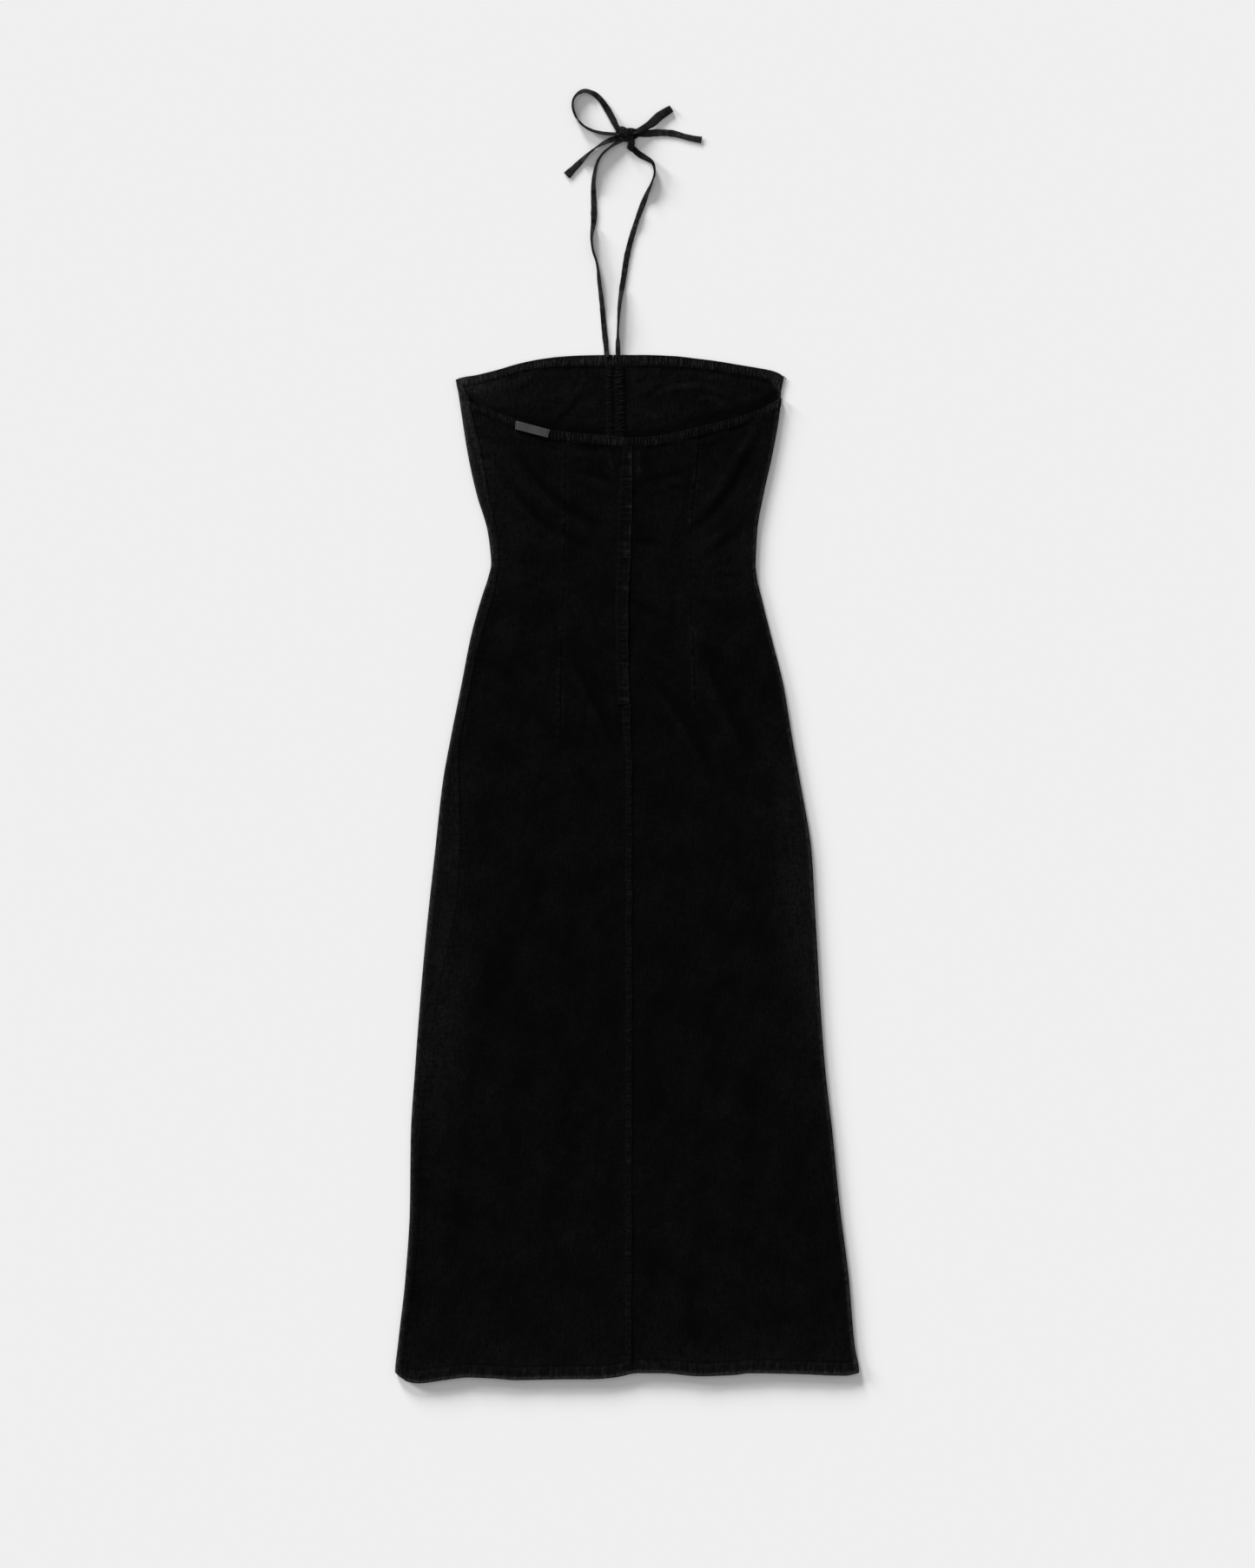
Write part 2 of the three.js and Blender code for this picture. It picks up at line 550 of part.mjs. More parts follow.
const backRightColumns = [
  over(backSeamRight, { raise: ridgeRaise }),
  over(shifted(backSeam, RIDGE_HALF_WIDTH), { raise: ridgeRaise }),
  ...spread(ridgeFootRight, rightDart, 5, over),
  over(rightDart, { raise: dartRaise }),
  ...spread(rightDart, rightUnder, 6, over).slice(1),
  ...rightArc(BACK_NECK),
  under(underSeamBack, { neck: BACK_NECK }),
];

const frontBindingLeft = binding([
  ...puckered(sideSeamFront, leftUnder, 2 * PUCKER_PITCH, over, wrapped),
  ...leftArc(WRAPPED_NECK).slice(0, 2),
  ...leftArc(FRONT_NECK).slice(2),
  ...puckered(leftUnder, frontSeamLeft, 184, under).slice(1),
  under(frontSeamLeft, { relief: BINDING_RELIEF }),
], frontLeftColumns);

const frontBindingRight = binding([
  ...puckered(frontSeamRight, underSeamFront, 200, under),
  under(underSeamFront, { relief: BINDING_RELIEF }),
], frontRightColumns);

const backBindingLeft = binding([
  ...puckered(sideSeamBack, backSeamLeft, 188, over),
  over(backSeamLeft, { relief: BINDING_RELIEF }),
], backLeftColumns);

const backBindingRight = binding([
  ...puckered(backSeamRight, rightUnder, 174, over),
  ...rightArc(BACK_NECK),
  under(underSeamBack, { neck: BACK_NECK }),
], backRightColumns);

function strip(rows, acrossPoints, base) {
  // A strip that lies on a layer: its foot is the layer's own height there, moved out
  const lower = [];
  const upper = [];
  for (const row of rows) {
    const points = acrossPoints(row);
    lower.push(points.map(({ x, y }) => [x, y, base(x, y) + GAP]));
    upper.push(points.map(({ x, y, thickness }) => [x, y, base(x, y) + GAP + thickness]));
  }
  return closedSheet(upper, lower);
}

function waves(from, to, count) {
  // Heights at the crests and troughs of crosswise gathers
  const steps = 2 * count;
  return Array.from({ length: steps + 1 }, (_, i) => ({
    y: from + ((to - from) * i) / steps,
    crest: i % 2,
  }));
}

const casingTop = panelTopOf(under(frontSeam));
const frontCasing = strip(
  waves(casingTop, casingTop - CASING_LENGTH, CASING_WAVES),
  ({ y, crest }) => CASING_PROFILE.map(({ across, thickness, gathers }) => ({
    x: frontSeam(y) + across,
    y,
    thickness: thickness + CASING_PUCKER * gathers * (2 * crest - 1),
  })),
  () => CLOTH,
);

const lapTop = panelTopOf(over(backSeam));
const panelTop = (x, y) => topHeight(x, y, FOLD_RADIUS);
const lapBase = (x, y) => Math.max(...[-15, -10, -5, 0, 5].map((by) => panelTop(x, y + by)));
const zipLap = strip(
  waves(lapTop, LAP_END + 12, LAP_WAVES),
  ({ y, crest }) => [-LAP_WIDTH, -LAP_WIDTH / 2, 0].map((across) => ({
    x: backSeam(y) + across + 1,
    y,
    thickness: CLOTH + LAP_PUCKER * crest,
  })),
  lapBase,
);

const labelRow = (left, right) => [0, 0.25, 0.5, 0.75, 1].map((share) => ({
  x: THREE.MathUtils.lerp(left.x, right.x, share),
  y: THREE.MathUtils.lerp(left.y, right.y, share),
  thickness: LABEL_CLOTH,
}));
const neckLabel = strip(
  [labelRow(LABEL.upperLeft, LABEL.upperRight), labelRow(LABEL.lowerLeft, LABEL.lowerRight)],
  (row) => row,
  (x, y) => panelTop(x, y) + BINDING_RELIEF + BINDING_PUCKER,
);

function solidOf(geometry) {
  // Closed solid from a geometry with its shared corners merged
  const bare = geometry.clone();
  bare.deleteAttribute('normal');
  bare.deleteAttribute('uv');
  const merged = mergeVertices(bare, 1e-4);
  return new wasm.Manifold(new wasm.Mesh({
    numProp: 3,
    vertProperties: new Float32Array(merged.attributes.position.array),
    triVerts: new Uint32Array(merged.index.array),
  }));
}

function geometryOf(solid) {
  const mesh = solid.getMesh();
  const geometry = new THREE.BufferGeometry();
  geometry.setAttribute('position', new THREE.BufferAttribute(mesh.vertProperties, 3));
  geometry.setIndex(new THREE.BufferAttribute(mesh.triVerts, 1));
  geometry.computeVertexNormals();
  return geometry;
}

function knotSolid(grow) {
  // All the lumps of the knot joined, each made larger by the same margin
  return KNOT_LUMPS.map(({ centre, radii, turn }) => {
    const lump = new THREE.SphereGeometry(1, KNOT_SLICES, KNOT_STACKS);
    lump.rotateX(Math.PI / 2);
    lump.scale(...radii.map((radius) => radius + grow));
    lump.rotateZ(turn);
    lump.translate(...centre);
    return solidOf(lump);
  }).reduce((joined, lump) => joined.add(lump));
}

function tie({ points, width = TIE_WIDTH, thickness = TIE_THICKNESS }) {
  // A flat tie with rounded sides along its route, cut where it meets the knot
  const half = width / 2;
  const bevel = thickness / 3;
  const deep = thickness / 2;
  const section = new THREE.Shape([
    new THREE.Vector2(-deep, -half + bevel), new THREE.Vector2(-deep + bevel, -half),
    new THREE.Vector2(deep - bevel, -half), new THREE.Vector2(deep, -half + bevel),
    new THREE.Vector2(deep, half - bevel), new THREE.Vector2(deep - bevel, half),
    new THREE.Vector2(-deep + bevel, half), new THREE.Vector2(-deep, half - bevel),
  ]);
  const route = new THREE.CatmullRomCurve3(points.map((point) => new THREE.Vector3(...point)));
  const steps = Math.ceil(route.getLength() / TIE_STEP);
  const body = new THREE.ExtrudeGeometry(section, { extrudePath: route, steps, bevelEnabled: false });
  return geometryOf(solidOf(body).subtract(knotSolid(GAP)));
}

const clothFinish = { color: 0x17171a, roughness: 0.95, metalness: 0 };
const tieFinish = { color: 0x1b1b1d, roughness: 0.9, metalness: 0 };
const labelFinish = { color: 0x3a3a3c, roughness: 0.85, metalness: 0 };

const group = new THREE.Group();

function add(name, geometry, finish) {
  const mesh = new THREE.Mesh(geometry, new THREE.MeshStandardMaterial(finish));
  mesh.name = name;
  group.add(mesh);
}

add('front_left', panel(frontLeftColumns), clothFinish);
add('front_right', panel(frontRightColumns), clothFinish);
add('back_left', panel(backLeftColumns), clothFinish);
add('back_right', panel(backRightColumns), clothFinish);
add('front_binding_left', frontBindingLeft, clothFinish);
add('front_binding_right', frontBindingRight, clothFinish);
add('back_binding_left', backBindingLeft, clothFinish);
add('back_binding_right', backBindingRight, clothFinish);
add('front_casing', frontCasing, clothFinish);
add('zip_lap', zipLap, clothFinish);
add('neck_label', neckLabel, labelFinish);
for (const spec of TIES) add(spec.name, tie(spec), tieFinish);
add('bow_knot', geometryOf(knotSolid(0)), tieFinish);

export default group;
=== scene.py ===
"""Looks of a halter dress that lies flat with its back side up.

Lengths are in millimetres until a mesh is written. X runs to the right as the dress lies, Y
towards the neck and Z up from the surface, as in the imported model.
"""

import logging
import math
from collections.abc import Callable, Sequence
from dataclasses import dataclass, field
from enum import Enum

import bpy
import numpy as np
import numpy.typing as npt
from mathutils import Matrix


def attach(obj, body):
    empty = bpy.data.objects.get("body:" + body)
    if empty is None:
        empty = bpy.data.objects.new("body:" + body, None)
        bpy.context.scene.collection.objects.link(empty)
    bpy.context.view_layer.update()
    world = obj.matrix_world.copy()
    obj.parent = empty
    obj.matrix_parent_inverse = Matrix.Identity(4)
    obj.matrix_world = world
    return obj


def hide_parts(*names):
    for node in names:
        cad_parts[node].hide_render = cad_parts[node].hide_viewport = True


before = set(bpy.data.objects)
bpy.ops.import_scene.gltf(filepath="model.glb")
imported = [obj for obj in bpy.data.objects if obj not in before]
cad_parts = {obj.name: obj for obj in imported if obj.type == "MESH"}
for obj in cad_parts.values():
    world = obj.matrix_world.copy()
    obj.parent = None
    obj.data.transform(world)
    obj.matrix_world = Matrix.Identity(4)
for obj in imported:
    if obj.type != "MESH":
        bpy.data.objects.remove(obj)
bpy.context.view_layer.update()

LOG = logging.getLogger("dress")
Array = npt.NDArray[np.float64]
Table = Sequence[tuple[float, float]]
Line = Callable[[Array, Array], Array]
Colour = tuple[float, float, float, float]
Spot = tuple[float, float, float, float, float]
METRE = 0.001
BODY = "root"

# Folded sides, and how far the side seams lie in from them: height, distance
LEFT_SIDE: Table = (
    (-610, -275), (-597, -275), (-566, -271.9), (-483.6, -262.7), (-401.2, -257.5),
    (-318.8, -256.5), (-236.4, -251.3), (-154, -245.1), (-95.3, -240), (-43.8, -234.8),
    (18, -228), (103.5, -218.4), (155, -209.1), (216.8, -196.7), (278.6, -184.4),
    (319.8, -173), (346, -164.5), (361, -161.2), (381.6, -162.7), (402.2, -165.8),
    (443.4, -178.2), (489.8, -188.5), (541.3, -196.7), (561.5, -199.7), (581, -202.9),
    (610, -205),
)
RIGHT_SIDE: Table = (
    (-610, 275), (-597, 275), (-566, 269.9), (-483.6, 262.7), (-401.2, 252.3),
    (-318.8, 244.1), (-236.4, 234.8), (-154, 228.7), (-95.3, 225.5), (-43.8, 222.5),
    (18, 218.9), (103.5, 205), (155, 195.7), (216.8, 185.4), (278.6, 170), (319.8, 159.7),
    (346, 153.8), (361, 152.4), (381.6, 153.2), (402.2, 154.5), (443.4, 161.7),
    (489.8, 172), (541.3, 181), (561.5, 182.9), (563, 182.8), (571, 183.2), (581, 186),
    (610, 188),
)
SEAM_ON_TOP: Table = (
    (-610, 9.3), (-566, 9.3), (-483.6, 10.3), (-401.2, 11.3), (-318.8, 12.4), (-236.4, 15),
    (-154, 21), (-95.3, 27.8), (-43.8, 33), (18, 30.9), (103.5, 20.6), (155, 12.4),
    (216.8, 12.4), (278.6, 13.5), (319.8, 15), (346, 11), (361, 10.3), (381.6, 11),
    (402.2, 11.3), (443.4, 15.5), (489.8, 17.5), (541.3, 12.8), (561.5, 14.2), (610, 14.2),
)
SEAM_UNDER: Table = (
    (-610, 11), (-483.6, 11), (-401.2, 12), (-236.4, 13), (-95.3, 14), (18, 14), (103.5, 13),
    (216.8, 12), (319.8, 12), (361, 11), (402.2, 11), (443.4, 10), (489.8, 8), (541.3, 4.5),
    (555, 3.5), (556, 0.5), (571, 0), (610, 0),
)

# Lower edge, and the upper edges of the front and the back: across, height
HEM_LINE: Table = (
    (-275, -597.9), (-267, -604), (-259, -608.6), (-247, -610), (-217.3, -606.2),
    (-188.5, -603.1), (-159.7, -604.1), (-130.8, -606.2), (-73.1, -605.1), (-44.3, -605.1),
    (-15.5, -603.1), (13.4, -597.9), (42.2, -597.9), (85, -601.5), (128.8, -600),
    (143.2, -597.9), (200.8, -598.9), (258.5, -601), (275, -597.9),
)
FRONT_NECK: Table = (
    (-202.9, 580), (-198, 582), (-178.2, 585.6), (-153.5, 591.7), (-128.8, 598.9),
    (-104, 604.1), (-79.3, 607.2), (-54.6, 608.7), (-16.5, 609.3), (19.6, 609.3),
    (56.6, 607.9), (81.4, 605.1), (106.1, 602), (130.8, 597.9), (155.5, 593.8), (172, 590.5),
    (180.2, 587.4), (186.4, 583),
)
WRAPPED_NECK: Table = ((-202.9, 579), (-196.2, 574.2), (-191.9, 565), (-184.4, 553.2))
BACK_NECK: Table = (
    (-184.4, 553.2), (-172, 549.5), (-156.6, 542.3), (-133.9, 534.1), (-87.6, 519.6),
    (-16.5, 512.8), (6.2, 510.9), (30.9, 512.4), (80.3, 522.7), (154.5, 543.3), (172, 552.6),
    (183.9, 558.8),
)

# Seams and darts that run down the dress: height, across
FRONT_SEAM: Table = (
    (-610, 0), (0, -4), (155, -7), (250, -9), (330, -11), (412, -13), (500, -15), (610, -16.5),
)
BACK_SEAM: Table = (
    (-610, 2.1), (0, 2.6), (155, 2.6), (250, 2.8), (330, 3.3), (412, 4.1), (500, 6), (610, 6.2),
)
LEFT_DART: Table = (
    (-610, -92), (0, -82), (155, -78.3), (250, -77.4), (330, -74.4), (412, -72.6),
    (500, -72.1), (610, -72),
)
RIGHT_DART: Table = (
    (-610, 98), (0, 86), (155, 82), (250, 80.3), (330, 76.6), (412, 77.8), (500, 86), (610, 90),
)
LAP_EDGE: Table = (
    (180, 3.4), (201, 3), (237, 2.2), (287, 1.8), (330, 2.9), (371, 4.6), (412, 5.8),
    (443, 6.4), (490, 6.6), (512, 6.2),
)

# Widths of the lap and of the ridge below it: height, width
LAP_WIDTH: Table = (
    (190, 15.2), (250, 15.6), (330, 16.6), (420, 17.4), (450, 16.4), (501, 12),
)
RIDGE_WIDTH: Table = ((-610, 8.4), (120, 8.4), (150, 9.2), (172, 11), (200, 11.6))
RIDGE_EDGE: Table = ((-610, 4.1), (120, 4.1), (160, 3), (200, 2.6))

# Widths of the neck bindings: across, width
FRONT_BINDING: Table = (
    (-203, 12), (-150, 10.5), (-16, 14.2), (120, 12), (165, 12), (187, 22.5),
)
BACK_BINDING: Table = ((-203, 12), (-16, 12.2), (120, 12), (165, 11.5), (187, 11.5))

# Folds that the cloth lies in: start, middle and end point, width and depth
CREASE_ROW = tuple[float, float, float, float, float, float, float, float]
BACK_FOLDS: Sequence[CREASE_ROW] = (
    (-136, 507, -84.5, 438, -12.4, 400, 5.8, 1.25),
    (-167, 495, -112, 424, -62, 384, 5.6, 1.1),
    (-152, 446, -130, 420, -108, 398, 6.2, 0.7),
    (163, 526, 116, 440, 72, 400, 6.6, 1.15),
    (145, 409, 116, 385, 86, 366, 6.2, 0.7),
    (-62, 471, -33, 464, -8, 452, 4.7, 0.9),
    (14, 452, 40, 462, 70, 470, 4.7, 0.9),
    (-70, 500, -45, 497, -22, 492, 4.7, 1),
    (6, 388, 27, 386, 47, 384, 5.5, 0.6),
    (4, 319, 30, 304, 58, 291, 6.2, 0.7),
    (-66, 256, -38, 205, -6, 132, 5.6, 1.5),
    (31, 222, 72, 175, 106, 98, 6.2, 1.3),
    (86, 276, 122, 200, 154, 112, 9.4, 1.5),
    (-60, 126, -42, 96, -24, 66, 7.5, 0.7),
    (125, 34, 178, -100, 222, -265, 17.2, 1.2),
    (-142, -40, -150, -150, -190, -280, 20.3, 1),
)
BACK_WRINKLES: Sequence[CREASE_ROW] = (
    (-58, 492, -50, 482, -46, 474, 2.6, -0.5),
    (-23, 492, -17, 478, -16, 458, 2.6, -0.6),
    (-34, 482, -28, 470, -12, 446, 3, 0.5),
    (-35, 499, -27, 491, -18, 484, 1.8, -0.7),
    (-44, 497, -38, 488, -35, 478, 2, -0.45),
    (13, 497, 15, 480, 14.5, 462, 2.2, -0.5),
    (18, 448, 30, 456, 48, 462, 2.6, -0.5),
    (42, 458, 58, 450, 74, 452, 3.2, 0.5),
    (-78, 400, -62, 388, -34, 372, 4, 0.6),
    (-122, 470, -104, 452, -92, 430, 4, -0.5),
    (-178, 520, -160, 506, -138, 500, 4.5, 0.6),
    (-186, 486, -172, 478, -150, 478, 3, -0.4),
    (-150, 520, -128, 512, -104, 506, 3.5, -0.45),
    (-108, 505, -88, 498, -70, 494, 3, 0.4),
    (152, 520, 140, 500, 122, 480, 4, -0.5),
    (120, 512, 100, 500, 80, 496, 4, 0.4),
    (176, 476, 158, 452, 142, 436, 5, 0.5),
    (-150, 380, -130, 366, -104, 358, 5, 0.5),
    (-158, 352, -140, 344, -112, 342, 4, -0.4),
    (150, 352, 130, 346, 104, 348, 4, 0.45),
    (140, 330, 118, 322, 92, 326, 5, -0.4),
    (-96, 330, -84, 300, -78, 262, 5, 0.4),
    (58, 350, 66, 320, 62, 288, 5, -0.4),
    (-40, 300, -30, 270, -34, 240, 7, 0.4),
    (-176, 250, -150, 236, -124, 206, 8, 0.5),
    (-190, 190, -160, 160, -140, 120, 9, 0.5),
    (-120, 190, -106, 150, -112, 96, 8, -0.4),
    (180, 240, 166, 210, 160, 176, 7, 0.5),
    (196, 120, 184, 70, 190, 20, 9, -0.5),
    (20, 120, 34, 70, 30, 10, 10, 0.5),
    (-20, 40, -26, -40, -16, -110, 12, 0.5),
    (60, 20, 66, -60, 90, -150, 14, 0.5),
    (-90, 60, -98, -20, -92, -110, 13, 0.5),
    (-210, 30, -214, -60, -222, -160, 9, -0.5),
    (200, -60, 212, -160, 226, -250, 10, 0.5),
    (-70, -180, -60, -300, -74, -420, 16, 0.6),
    (40, -160, 30, -280, 44, -400, 15, 0.6),
    (130, -220, 150, -340, 156, -470, 16, 0.6),
    (-180, -300, -196, -400, -200, -500, 14, 0.6),
    (-20, -390, -10, -470, -22, -560, 12, 0.5),
    (90, -430, 84, -510, 96, -580, 11, 0.5),
    (-130, -440, -122, -520, -136, -586, 11, 0.5),
    (216, -380, 228, -470, 232, -560, 10, 0.5),
    (-244, -250, -240, -330, -246, -420, 8, 0.5),
    (-199, 526, -191, 524.5, -180, 521, 2, -1),
    (-192, 489, -180, 487.5, -164, 486, 2, 1.1),
    (-197, 507, -188, 505, -178, 505, 2.6, 0.35),
    (-184, 470, -175, 466, -160, 466, 2.8, -0.4),
    (-196, 545, -178, 541, -150, 527, 2.4, 0.5),
    (-40, -240, -24, -256, 4, -262, 9, 0.35),
    (92, -96, 116, -110, 140, -108, 9, 0.35),
    (-160, -190, -140, -206, -112, -206, 9, 0.35),
)
FRONT_FOLDS: Sequence[CREASE_ROW] = (
    (-42, 573, -66, 547, -84, 530, 3.4, 1.2),
    (-150, 562, -122, 580, -98, 594, 7, -0.7),
    (3, 556, 63, 571, 138, 543, 8, -1),
    (60, 577, 100, 582, 150, 566, 7, -0.6),
    (-146, 577, -134, 581, -122, 583, 2.6, 0.6),
    (-184, 565, -175, 568, -163, 572, 3, 0.5),
    (22, 559, 48, 572, 92, 578, 3, 0.8),
    (64, 569, 88, 571, 122, 559, 3.6, -0.7),
    (80, 556, 98, 562, 132, 548, 3.4, 0.9),
    (98, 538, 112, 546, 128, 544, 3, -0.5),
    (-128, 552, -108, 548, -92, 552, 4, -0.4),
    (-104, 572, -86, 566, -72, 570, 4, 0.4),
    (22, 540, 36, 536, 52, 538, 4, -0.4),
    (130, 574, 148, 566, 164, 568, 4, 0.5),
)

# Faded stretches beside the sides: side, distance in, reach, height, span and amount
WORN_SIDES: Sequence[tuple[str, float, float, float, float, float]] = (
    ("left", 20, 42, -190, 130, 0.09),
    ("left", 12, 30, 20, 120, 0.045),
    ("left", 0, 24, 370, 42, 0.088),
    ("left", 80, 60, 470, 60, 0.014),
    ("left", 8, 40, 490, 80, 0.09),
    ("right", 12, 32, -60, 190, 0.12),
    ("right", 0, 24, 370, 42, 0.066),
    ("right", 62, 46, 372, 60, 0.022),
    ("right", 8, 30, 470, 90, 0.03),
)

# Rubbed spots: across, height, reach across, reach up and amount
RUBBED: Sequence[Spot] = (
    (12.6, 491, 2.6, 3.2, 0.1), (13.2, 473, 3.2, 5.5, 0.13), (18.2, 503, 2.8, 3.6, 0.12),
    (-31, 494, 4, 2.2, 0.1), (-20, 486, 2, 7, 0.1), (-194, 527, 7, 2.2, 0.16),
    (-186, 489, 8, 1.8, 0.14), (-70, 118, 1.6, 2.2, 0.12),
)

# Heights of the short creases across the lap, and its own rubbed spots
LAP_CREASES = (487, 474, 461, 428, 421, 376, 369, 352, 333, 285.5, 266, 243, 214, 199, 196)
LAP_RUBBED: Sequence[Spot] = (
    (3.6, 489, 2, 3.6, 0.3), (4.2, 473, 1.6, 9, 0.22), (3.4, 430, 3.6, 1.6, 0.4),
    (3.8, 400, 1.6, 6, 0.26), (-2.5, 385, 3.6, 2.2, 0.26), (-0.5, 375, 4.4, 4.6, 0.24),
    (0.4, 332, 4.6, 2.4, 0.2), (-2, 300, 5, 8, 0.1), (-3, 228, 4.4, 12, 0.1),
    (-1.4, 201, 4.4, 2.2, 0.3),
)

# The lowest that any point of a tie or binding lies
LOWEST = 0.02

# Line on the wrapped strip where the turned end of the front binding crosses it: a point
# on it, how fast it falls to the right, and between which places it fades out
TUCK_AT = (-197.0, 559.5)
TUCK_FALL = 0.43
TUCK_ENDS = (181.0, 185.0)

# Middle of the knot of the bow
KNOT_AT = (1.0, 868.6)

# Ends of the short dense row of stitches at the top of the right side
BAR_TACK = ((185.2, 584.2, 1.3), (189.2, 579.6, 0.7))

# Routes of the ties, and how wide each looks from above: across, height, rise and width
TIE_ROW = tuple[float, float, float, float]
TIE_LEFT: Sequence[TIE_ROW] = (
    (-24, 606.8, 0.8, 4.6), (-25.2, 622, 0.8, 5.2), (-26.8, 636, 0.8, 5.3),
    (-29.9, 670, 0.8, 4.9), (-33, 695.8, 0.8, 3.9), (-35.5, 716.4, 0.8, 2.1),
    (-40.6, 733.9, 0.8, 1.8), (-42, 749, 0.8, 3), (-39.6, 768, 0.8, 5.8),
    (-39.4, 788.5, 0.8, 6), (-39.8, 814.2, 0.8, 4.2), (-36.1, 834.8, 0.8, 3.2),
    (-29.9, 846.5, 0.8, 2.4), (-19.6, 855.8, 0.8, 2.8), (-8, 863, 0.8, 4.4), (2, 869, 0.8, 5),
)
TIE_RIGHT: Sequence[TIE_ROW] = (
    (-10.8, 606.8, 0.8, 5.4), (-11, 622, 0.8, 4.4), (-10.8, 640, 0.8, 1.8),
    (-8.8, 670, 0.8, 4), (-4.1, 700.9, 0.8, 5.6), (1, 731.8, 0.8, 5.7), (10.3, 764.8, 0.8, 5),
    (21.6, 795.7, 0.8, 5), (28.8, 812.2, 0.8, 2.2), (32.6, 824.5, 0.8, 1.8),
    (30.9, 835.8, 0.8, 3), (23.7, 842, 0.8, 5), (13.4, 848, 1.2, 6.4), (4.1, 857, 1.8, 6),
)
OPEN_LOOP: Sequence[TIE_ROW] = (
    (-3, 870, 2.6, 5), (-11.3, 878, 2.6, 5.6), (-17.5, 890, 1.8, 6.6), (-23.7, 901, 1, 6.8),
    (-31.5, 912.1, 0.8, 6), (-39.8, 919.2, 0.8, 4.8), (-51.5, 922.3, 0.8, 4.4),
    (-61.6, 915.6, 0.8, 3), (-64.6, 905, 0.8, 1.9), (-61, 892.4, 0.8, 2),
    (-53.2, 882.2, 0.8, 2.6), (-42.6, 875.8, 1, 3.4), (-29, 872.2, 1.6, 3.6),
    (-16.5, 871.2, 2.4, 3.8), (-6, 870.5, 2.6, 4),
)
FLAT_LOOP: Sequence[TIE_ROW] = (
    (5, 871.6, 2.2, 5), (12, 874.2, 2.8, 6), (20, 878, 3.4, 7.2), (28.8, 883.6, 2.6, 9.4),
    (39.1, 892.9, 1.5, 9.6), (52.7, 901.5, 1.4, 7.8),
)
END_RIGHT: Sequence[TIE_ROW] = (
    (2, 870.5, 1, 5), (12, 871.2, 0.9, 6), (23.7, 871.9, 0.8, 7), (39.1, 872.9, 0.8, 7.2),
    (54.6, 871.9, 0.8, 6.8), (70, 867.8, 0.8, 5.8), (80, 865.6, 0.8, 6), (88.4, 864.2, 0.8, 7.9),
)
END_LEFT: Sequence[TIE_ROW] = (
    (-2, 868, 2.6, 6), (-12.4, 865.9, 2.6, 6), (-24.7, 861.8, 2.4, 4.6),
    (-37.1, 854.6, 1.4, 2.4), (-47.4, 846.1, 0.8, 3.6), (-58.7, 834.8, 0.8, 6.2),
    (-71.6, 821.9, 0.8, 8.8),
)
KNOT_WRAPS: Sequence[Sequence[TIE_ROW]] = (
    (
        (-10, 872.4, 0.9, 6), (-9.4, 875.6, 3, 6.8), (-5, 875.4, 5.4, 7.4), (0.6, 871, 6.3, 7.6),
        (4.6, 865, 5.8, 7.6), (5, 858.6, 4.8, 7.4), (3.4, 853.9, 3, 6.8), (2.6, 852.6, 0.9, 6),
    ),
    (
        (-7.6, 863.4, 0.9, 5.4), (-8.8, 867.4, 3, 5.8), (-5.2, 871.8, 4.6, 6),
        (1.6, 874.4, 4.8, 6), (8, 874, 3.4, 5.8), (11, 872, 0.9, 5.2),
    ),
    (
        (-10.4, 870.6, 0.9, 5), (-6.4, 866.8, 3.6, 5.4), (0, 864.4, 4.6, 5.6),
        (6.4, 866.4, 4.2, 5.6), (10.4, 869.6, 2.6, 5.4), (11.6, 871.6, 0.9, 5),
    ),
)


class Run:
    """A smooth line through the rows of a table, level past its ends."""

    def __init__(self, rows: Table) -> None:
        """Find the slope at each row so that the line never swings past its points.

        Args:
            rows: pairs of a place and the value there, the places rising.
        """
        self.at, self.value = np.array(rows, float).T
        self.step = np.diff(self.at)
        rise = np.diff(self.value) / self.step
        self.slope = np.zeros_like(self.at)
        self.slope[0], self.slope[-1] = rise[0], rise[-1]
        ahead = 2 * self.step[1:] + self.step[:-1]
        behind = self.step[1:] + 2 * self.step[:-1]
        same = rise[:-1] * rise[1:] > 0
        inner = self.slope[1:-1]
        inner[same] = (ahead + behind)[same] / (
            ahead[same] / rise[:-1][same] + behind[same] / rise[1:][same]
        )

    def __call__(self, at: Array) -> Array:
        """Give the value of the line.

        Args:
            at: places along the table.

        Returns:
            The values there.
        """
        held = np.clip(at, self.at[0], self.at[-1])
        i = np.clip(np.searchsorted(self.at, held) - 1, 0, len(self.step) - 1)
        step = self.step[i]
        t = (held - self.at[i]) / step
        low, high = self.value[i], self.value[i + 1]
        lead = t * (1 - t) ** 2 * step * self.slope[i] - t**2 * (1 - t) * step * self.slope[i + 1]
        return low + (high - low) * t * t * (3 - 2 * t) + lead


def eased(value: Array, low: float = 0.0, high: float = 1.0) -> Array:
    """Rise smoothly from 0 at low to 1 at high.

    Args:
        value: what is compared with low and high.
        low: where the rise starts.
        high: where the rise ends.

    Returns:
        Shares from 0 to 1.
    """
    t = np.clip((value - low) / (high - low), 0, 1)
    return t * t * (3 - 2 * t)


def bell(value: Array, width: float) -> Array:
    """Give 1 at zero and fall smoothly to nothing within about twice the width."""
    return np.exp(-((value / width) ** 2))


